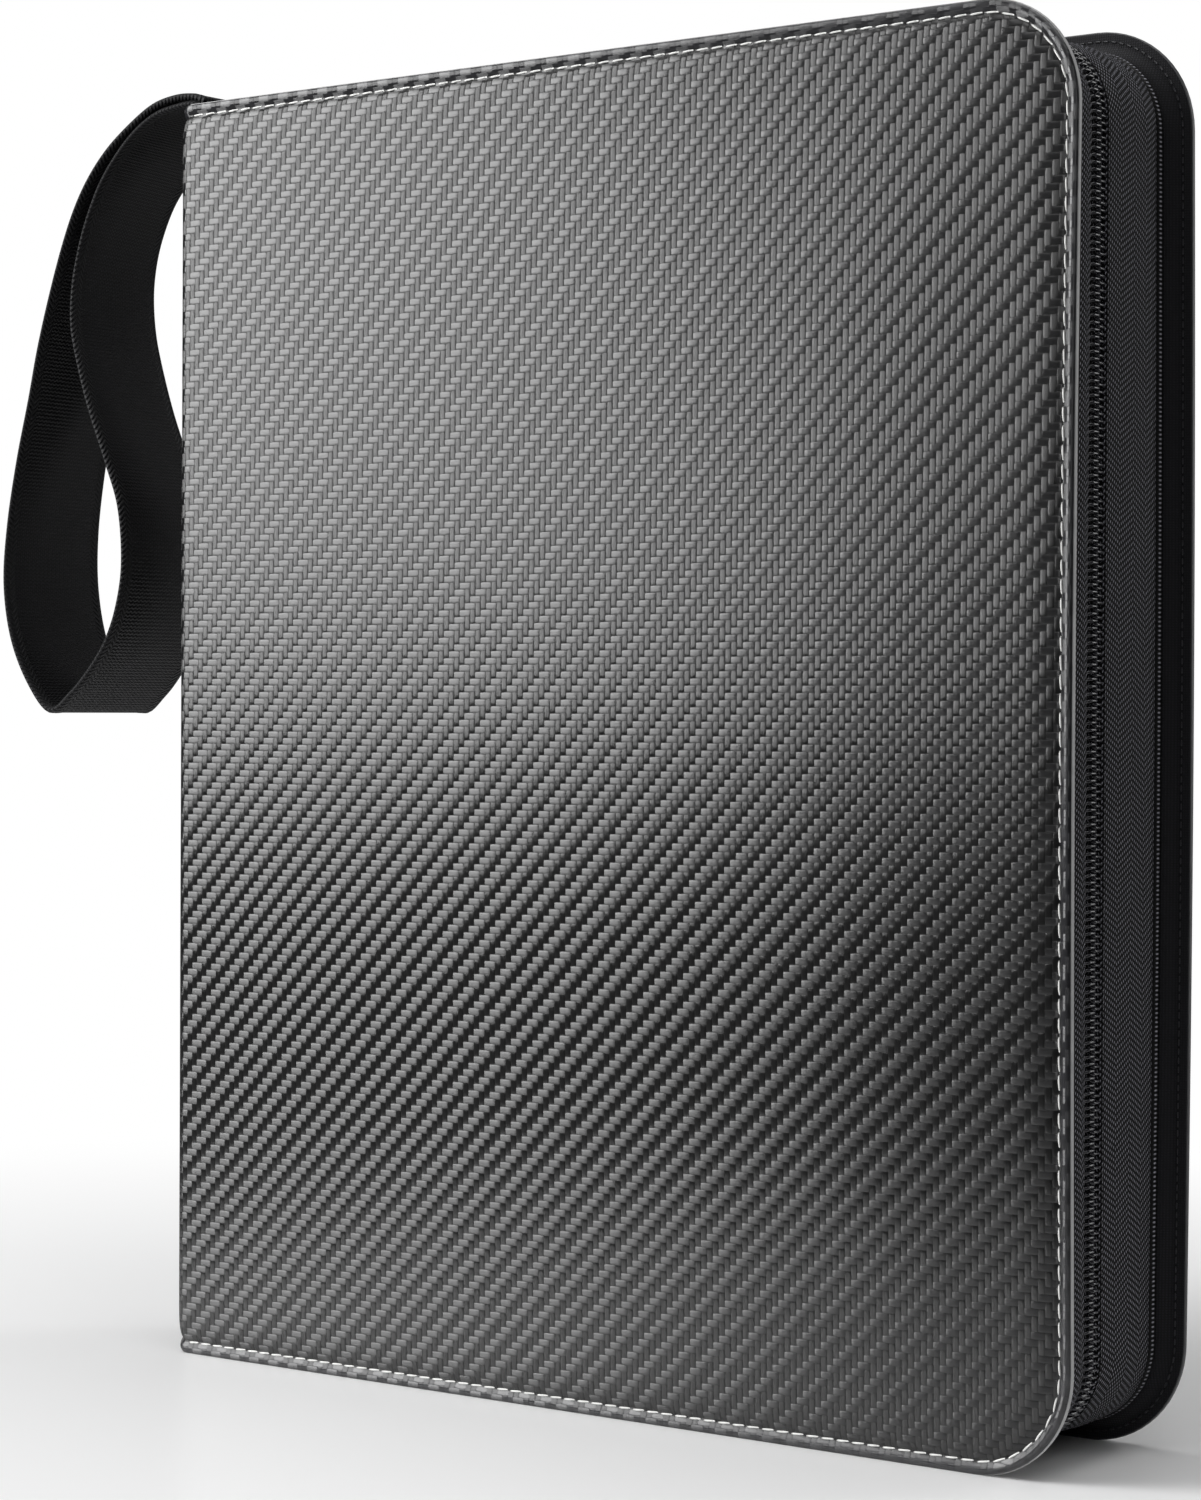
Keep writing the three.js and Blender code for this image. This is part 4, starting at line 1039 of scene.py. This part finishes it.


# Cloth that closes each end of the wall between the covers: it folds down between spine and cover.
def makeGussets():
    ys = np.linspace(0.0, gusset["reach"], 30)
    xs = np.linspace(gusset["nearX"], gusset["farX"], 16)
    for end, place in ((1, "top"), (-1, "bottom")):
        for side, name in ((-1, "front"), (1, "back")):
            grid = np.zeros((len(ys), len(xs), 3))
            grid[..., 0], grid[..., 1] = xs[None], side * ys[:, None]
            fold = np.sin(np.pi * np.clip((ys - 3) / 17, 0, 1)) ** 2
            deeper = 0.4 + 0.6 * smooth((gusset["farX"] - xs[None]) / 9)
            inset = gusset["inset"] + gusset["fold"] * fold[:, None] * deeper
            grid[..., 2] = case["height"] - inset if end > 0 else inset
            points = grid.reshape(-1, 3)
            quads = facing(points, gridQuads(len(ys), len(xs)), (0, 0, end))
            closed, faces = closeSheet(points, quads, gusset["thickness"])
            uv = np.concatenate([points[:, :2]] * 2) * 0.001
            piece = makePiece(f"{name}_gusset_{place}", closed, faces, liningCloth,
                {"weave": uv})
            near, far = (tuple(toRow([9.0, side * y, 165.0])) for y in gusset["blend"])
            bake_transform(piece)
            if side < 0:
                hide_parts(f"zip_gusset_{place}")


for side in (-1, 1):
    makeTape(side)
    makePiping(side)
    makeCoil(side)
makeGussets()
print("wall and zip made")


strap = {"width": 38.0, "thickness": 1.5, "rootThickness": 1.3, "rootLength": 20.0, "rootBend": 8.0}
strapRoots = {"outer": 1.5, "inner": 2.9}  # how far each end lies inside the spine's face


# Webbing along a route in the x-z plane: a flat section with rounded woven edges, carried along a
# smooth line through the route's points. u is the distance along it, v the distance from its middle.
def webbingAlong(route, thickness, step=1.6):
    line, run = through(route, step)
    way = np.gradient(line[:, :2], axis=0)
    way /= np.linalg.norm(way, axis=1, keepdims=True)
    normal = np.stack([-way[:, 1], way[:, 0]], -1)
    half = strap["width"] / 2
    v = half * np.sin(np.linspace(-np.pi / 2, np.pi / 2, 25))
    edge = half - np.abs(v)
    bulge = np.sqrt(np.clip(edge / 0.7, 0, 1)) * (1 + 0.22 * np.exp(-((edge - 1.8) / 1.3) ** 2))
    sheet = np.concatenate([np.stack([v, 0.5 * bulge], -1), np.stack([v[::-1], -0.5 * bulge[::-1]],
        -1)[1:-1]])
    points = np.zeros((len(line), len(sheet), 3))
    offset = np.repeat(thickness * sheet[None, :, 1], len(line), axis=0)
    lean = line[:, 2:] * sheet[None, :, 0] / strap["width"]
    points[..., 0] = line[:, :1] + normal[:, :1] * offset - lean
    points[..., 2] = line[:, 1:2] + normal[:, 1:] * offset
    points[..., 1] = sheet[None, :, 0]
    uv = np.stack([np.broadcast_to(run[:, None], offset.shape),
        np.broadcast_to(sheet[None, :, 0], offset.shape)], -1)
    quads = gridQuads(len(line), len(sheet), wrapColumns=True)
    ends = [np.arange(len(sheet))[None, ::-1], (np.arange(len(sheet)) + (len(line) - 1) * len(sheet))[None]]
    flat = points.reshape(-1, 3)
    middle = np.zeros_like(points)
    middle[..., 0], middle[..., 2] = line[:, :1] - lean, line[:, 1:2]
    test = faceNormals(flat, quads)
    if (test * (flat[quads].mean(1) - middle.reshape(-1, 3)[quads].mean(1))).sum() < 0:
        quads, ends = quads[:, ::-1], [e[:, ::-1] for e in ends]
    return flat, [quads, *ends], uv.reshape(-1, 2), run[-1]


def makeStrap():
    h = case["height"]
    # out from the spine's face, height above the covers' top, and how much further out the back edge
    # lies than the front one, from the upper layer round to the lower
    knots = [(-2.1, 2.2, 0), (-0.8, 2.8, 0), (3, 3.9, 0.4), (10, 4.1, 2), (19, 2.6, 4), (28, -1.6, 5.5),
        (37, -7.6, 6), (44, -14.6, 6), (49.6, -22.8, 6), (54.4, -33, 6), (59, -46, 5.5), (63.2, -60, 5),
        (66.5, -74, 4.5), (70.8, -91, 3.8), (74, -109, 2.8), (74.6, -125, 1.5), (71.4, -140, 0.8),
        (64.4, -152.4, 0.2), (56, -160, 0), (48, -155.4, 0.4), (41.4, -149.2, 1), (35.4, -141.6, 1.6),
        (31.4, -132, 2.4), (29.6, -120, 3.2), (31.4, -104.5, 3.8), (37, -91, 4.2), (43, -77.5, 4.3),
        (47.4, -65, 4.4), (50.2, -54, 4.8), (50.4, -43, 6.4), (48.6, -33.4, 7.6), (45.4, -24.8, 8),
        (40.6, -16.4, 7.8), (33.6, -9, 6.6), (26, -3.4, 5), (18, 0.2, 3.4), (10, 1.6, 1.8), (3, 2.0, 0.4),
        (0.2, 1.2, 0), (-1.4, 1.0, 0)]
    route = [(-out, h + rise, lean) for out, rise, lean in knots]
    points, faces, uv, length = webbingAlong(route, strap["thickness"])
    piece = makePiece("carry_strap", points, faces, webbing, {"weave": uv * 0.001})
    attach(piece, "strap")
    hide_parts("strap_loop")
    print("strap length", round(length), "mm")
    # both ends go on into the spine, between its leatherette and its board
    for place, depth in strapRoots.items():
        route = [(depth, h - strap["rootLength"], 0), (depth, h - strap["rootBend"], 0),
            (0.6 * depth + 0.8, h + 1.6, 0)]
        points, faces, uv, _ = webbingAlong(route, strap["rootThickness"])
        root = makePiece(f"strap_root_{place}", points, faces, webbing, {"weave": uv * 0.001})
        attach(root, "spine")
        if place == "outer":
            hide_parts("strap_tail")


makeStrap()
print("strap made")


rings = {"wire": 1.5, "centreX": 22.5, "radius": 16.5}


# Half a ring: round wire on a circle, from its blade to its tip at the middle of the binder, where the
# last millimetre is chamfered.
def makeRings():
    turn = np.concatenate([np.linspace(2.79, 0.06, 44), [0.0095]])
    thick = np.full(len(turn), rings["wire"])
    thick[-1] = rings["wire"] - 0.25
    for side, name in ((-1, "front"), (1, "back")):
        for place in ("bottom", "middle", "top"):
            low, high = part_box(f"ring_{name}_{place}")
            z = (low.z + high.z) * 500
            path = np.stack([rings["centreX"] + rings["radius"] * np.cos(turn), side * rings["radius"]
                * np.sin(turn), np.full(len(turn), z)], -1)
            points, faces = tube(path, thick, 20)
            piece = makePiece(f"{name}_ring_wire_{place}", points, faces, nickel)
            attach(piece, f"ring_{name}")
            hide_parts(f"ring_{name}_{place}")


# A leaf: a sheet of film punched for the rings, with clear film welded to both faces in three rows of
# three pockets. Film height: (1 - (2a-1)^4)(1 - (2b-1)^4) across each pocket.
def makeLeaves():
    for name in ("front", "back"):
        for number in range(1, 7):
            node = f"{name}_leaf_{number}"
            dress(node, backing)
            low, high = (np.array(v) * 1000 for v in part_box(node))
            low[0] -= spineX * 1000
            high[0] -= spineX * 1000
            x0, x1, z0, z1 = low[0] + 23.0, high[0] - 2.0, low[2] + 2.0, high[2] - 2.0
            cells = 8
            a, b = np.linspace(0, 3, 3 * cells + 1), np.linspace(0, 3, 3 * cells + 1)
            fa, fb = (2 * np.minimum(v % 1, 1 - v % 1) for v in (a, b))
            puff = (1 - (1 - fa[:, None]) ** 4) * (1 - (1 - fb[None, :]) ** 4)
            near = np.minimum(fa[:, None] * (x1 - x0) / 6, fb[None, :] * (z1 - z0) / 6)
            for face, y in ((-1, low[1]), (1, high[1])):
                layer = "outer" if (face < 0) == (name == "front") else "inner"
                outer = number == 6 and layer == "outer"
                grid = np.zeros((*puff.shape, 3))
                grid[..., 0] = (x0 + (x1 - x0) * a / 3)[:, None]
                grid[..., 1] = y + face * (0.05 + (0.5 if outer else 0.11) * puff)
                grid[..., 2] = (z0 + (z1 - z0) * b / 3)[None, :]
                points = grid.reshape(-1, 3)
                quads = facing(points, gridQuads(*puff.shape), (0, face, 0))
                run = points[:, 0] + points[:, 2]
                weld = np.stack([near.reshape(-1), run], -1) * 0.001
                closed, faces = closeSheet(points, quads, 0.04)
                piece = makePiece(f"{node}_pockets_{layer}", closed, faces, clearFilm,
                    {"weave": np.concatenate([points[:, [0, 2]]] * 2) * 0.001,
                    "weld": np.concatenate([weld] * 2)})
                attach(piece, f"{name}_leaves")


# A CAD piece kept as it is: a new material, and smooth shading broken at its real edges.
def dress(node, material):
    mesh = bpy.data.objects[node].data
    mesh.materials.clear()
    mesh.materials.append(material)
    mesh.polygons.foreach_set("material_index", np.zeros(len(mesh.polygons), int))
    mesh.polygons.foreach_set("use_smooth", np.ones(len(mesh.polygons), bool))
    mesh.set_sharp_from_angle(angle=math.radians(35))


makeRings()
makeLeaves()
for node in ("ring_housing", "ring_blade_front", "ring_blade_back", "ring_rivet_bottom", "ring_rivet_top",
    "ring_lever_top", "ring_lever_bottom", "lever_pin_bottom", "lever_pin_top"):
    dress(node, nickel)
dress("spine_board", greyboard)
for node in ("front_zip_stop_top", "front_zip_stop_bottom", "back_zip_stop_top", "back_zip_stop_bottom"):
    dress(node, blackMetal)
print("rings and leaves made")


slider = {"x": (16.9, 29.9), "half": 4.7, "plates": ((325.65, 326.75), (321.35, 322.45)), "wire": 0.55,
    "barX": 24.4, "linkEnd": 32.35, "linkHalf": 1.65, "linkZ": 327.5}


# A solid between flat ends from an outline (a, b) running anticlockwise: a ring of it for each (inset,
# height) of the profile, moved in along the outline's own corner normals.
def ringed(outline, profile):
    ahead, behind = np.roll(outline, -1, 0) - outline, outline - np.roll(outline, 1, 0)
    ahead /= np.linalg.norm(ahead, axis=1, keepdims=True)
    behind /= np.linalg.norm(behind, axis=1, keepdims=True)
    inward = np.stack([-(ahead + behind)[:, 1], (ahead + behind)[:, 0]], -1)
    inward /= np.linalg.norm(inward, axis=1, keepdims=True)
    rows = [np.concatenate([outline + inward * inset, np.full((len(outline), 1), height)], 1) for inset,
        height in profile]
    count = len(outline)
    quads = gridQuads(len(profile), count, wrapColumns=True)
    ends = [np.arange(count)[None, ::-1], (np.arange(count) + (len(profile) - 1) * count)[None]]
    return np.concatenate(rows), [quads, *ends]


# An outline through a few points with each corner swapped for a short arc.
def rounded(corners, radius, steps=5):
    corners = np.asarray(corners, float)
    out = []
    for k in range(len(corners)):
        here, before, after = corners[k], corners[k - 1], corners[(k + 1) % len(corners)]
        p = here + (before - here) / np.linalg.norm(before - here) * radius
        q = here + (after - here) / np.linalg.norm(after - here) * radius
        t = np.linspace(0, 1, steps)[:, None]
        out.append((1 - t) ** 2 * p + 2 * t * (1 - t) * here + t ** 2 * q)
    return np.concatenate(out)


def makeSlider():
    x0, x1 = slider["x"]
    half = slider["half"]
    shield = rounded([(x0, -half), (x0 + 6.5, -half), (x1, -half + 1.1), (x1, half - 1.1), (x0 + 6.5, half),
        (x0, half)], 1.3)
    parts = []
    for low, high in slider["plates"]:
        points, faces = ringed(shield, [(0.45, low), (0.12, low + 0.12), (0.0, low + 0.4),
            (0.0, high - 0.4), (0.12, high - 0.12), (0.45, high)])
        parts.append((points, faces))
    for side in (-1, 1):  # flanges that guide the teeth, turned towards each other from both plates
        for low, high in ((324.55, 325.9), (322.2, 323.55)):
            ys = sorted((side * (half - 0.95), side * (half - 0.1)))
            bar = rounded([(x0 + 0.6, ys[0]), (x0 + 7.2, ys[0]), (x0 + 7.2, ys[1]), (x0 + 0.6, ys[1])], 0.3,
                3)
            parts.append(ringed(bar, [(0.2, low), (0.0, low + 0.2), (0.0, high)]))
    neck = rounded([(x0 + 0.1, -0.8), (x0 + 4, -0.35), (x0 + 4, 0.35), (x0 + 0.1, 0.8)], 0.25, 3)
    parts.append(ringed(neck, [(0.0, 321.9), (0.0, 326.2)]))
    points, faces = joined(parts)
    points = points + [0, zipMiddle, 0]
    arch, archFaces = tube(through([(20.4, zipMiddle, 326.2), (20.5, zipMiddle, 327.6),
        (21.2, zipMiddle, 328.5), (23.4, zipMiddle, 328.62), (25.6, zipMiddle, 328.5),
        (26.3, zipMiddle, 327.6), (26.4, zipMiddle, 326.2)], 0.3)[0], 0.7, 14)
    points, faces = joined([(points, faces), (arch, archFaces)])
    piece = makePiece("slider_casting", points, faces, blackMetal)
    piece.data.set_sharp_from_angle(angle=math.radians(50))
    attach(piece, "slider")
    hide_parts("slider_body")


# Several solids in one mesh: their points in turn, and their faces sorted by how many corners they
# have.
def joined(parts):
    points, faces, shift = [], {}, 0
    for rows, blocks in parts:
        for block in blocks:
            faces.setdefault(block.shape[1], []).append(block + shift)
        points.append(rows)
        shift += len(rows)
    return np.concatenate(points), [np.concatenate(v) for v in faces.values()]


def makePull():
    z, half = slider["linkZ"], slider["linkHalf"]
    loop = rounded([(slider["barX"], -half), (slider["linkEnd"], -half), (slider["linkEnd"], half),
        (slider["barX"], half)], 1.0, 7)
    middle = (loop[0] + loop[-1]) / 2
    path = np.concatenate([[middle], loop, [middle]])
    path = np.stack([path[:, 0], path[:, 1] + zipMiddle, np.full(len(path), z)], -1)
    points, faces = tube(path, slider["wire"], 12)
    link = makePiece("pull_wire_link", points, faces, blackMetal)
    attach(link, "pull")
    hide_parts("pull_link")
    # moulded tab: narrow where it holds the link, round at its free end, with a raised rim and three
    # grip bars
    low, high = (np.array(v) * 1000 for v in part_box("pull_tab"))
    end = high[0] - spineX * 1000
    wide = (high[1] - low[1]) / 2
    a = np.linspace(-np.pi / 2, np.pi / 2, 25)
    outline = np.concatenate([[(31.2, -1.9), (32.6, -2.7), (34.4, -3.5), (37.0, -wide + 0.5),
        (40.0, -wide)], np.stack([end - wide + wide * np.cos(a), wide * np.sin(a)], -1),
        [(40.0, wide), (37.0, wide - 0.5), (34.4, 3.5), (32.6, 2.7), (31.2, 1.9)]])
    low, high = low[2], high[2]
    rim = [(1.9, low + 0.45), (1.6, low + 0.4), (1.25, low + 0.05), (0.5, low), (0.12, low + 0.25),
        (0.0, low + 0.7)]
    profile = rim + [(i, low + high - h) for i, h in rim[::-1]]
    parts = [ringed(outline, profile)]
    for x in (46.0, 50.5, 55.0):
        bar = rounded([(x - 0.9, -2.6), (x + 0.9, -2.6), (x + 0.9, 2.6), (x - 0.9, 2.6)], 0.85, 6)
        parts.append(ringed(bar, [(0.5, low + 0.05), (0.1, low + 0.25), (0.0, low + 0.6), (0.0, high - 0.6),
            (0.1, high - 0.25), (0.5, high - 0.05)]))
    points, faces = joined(parts)
    tab = makePiece("pull_moulded_tab", points + [0, zipMiddle, 0], faces, rubber)
    tab.data.set_sharp_from_angle(angle=math.radians(50))
    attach(tab, "pull")
    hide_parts("pull_tab")


makeSlider()
makePull()
print("slider and pull made")
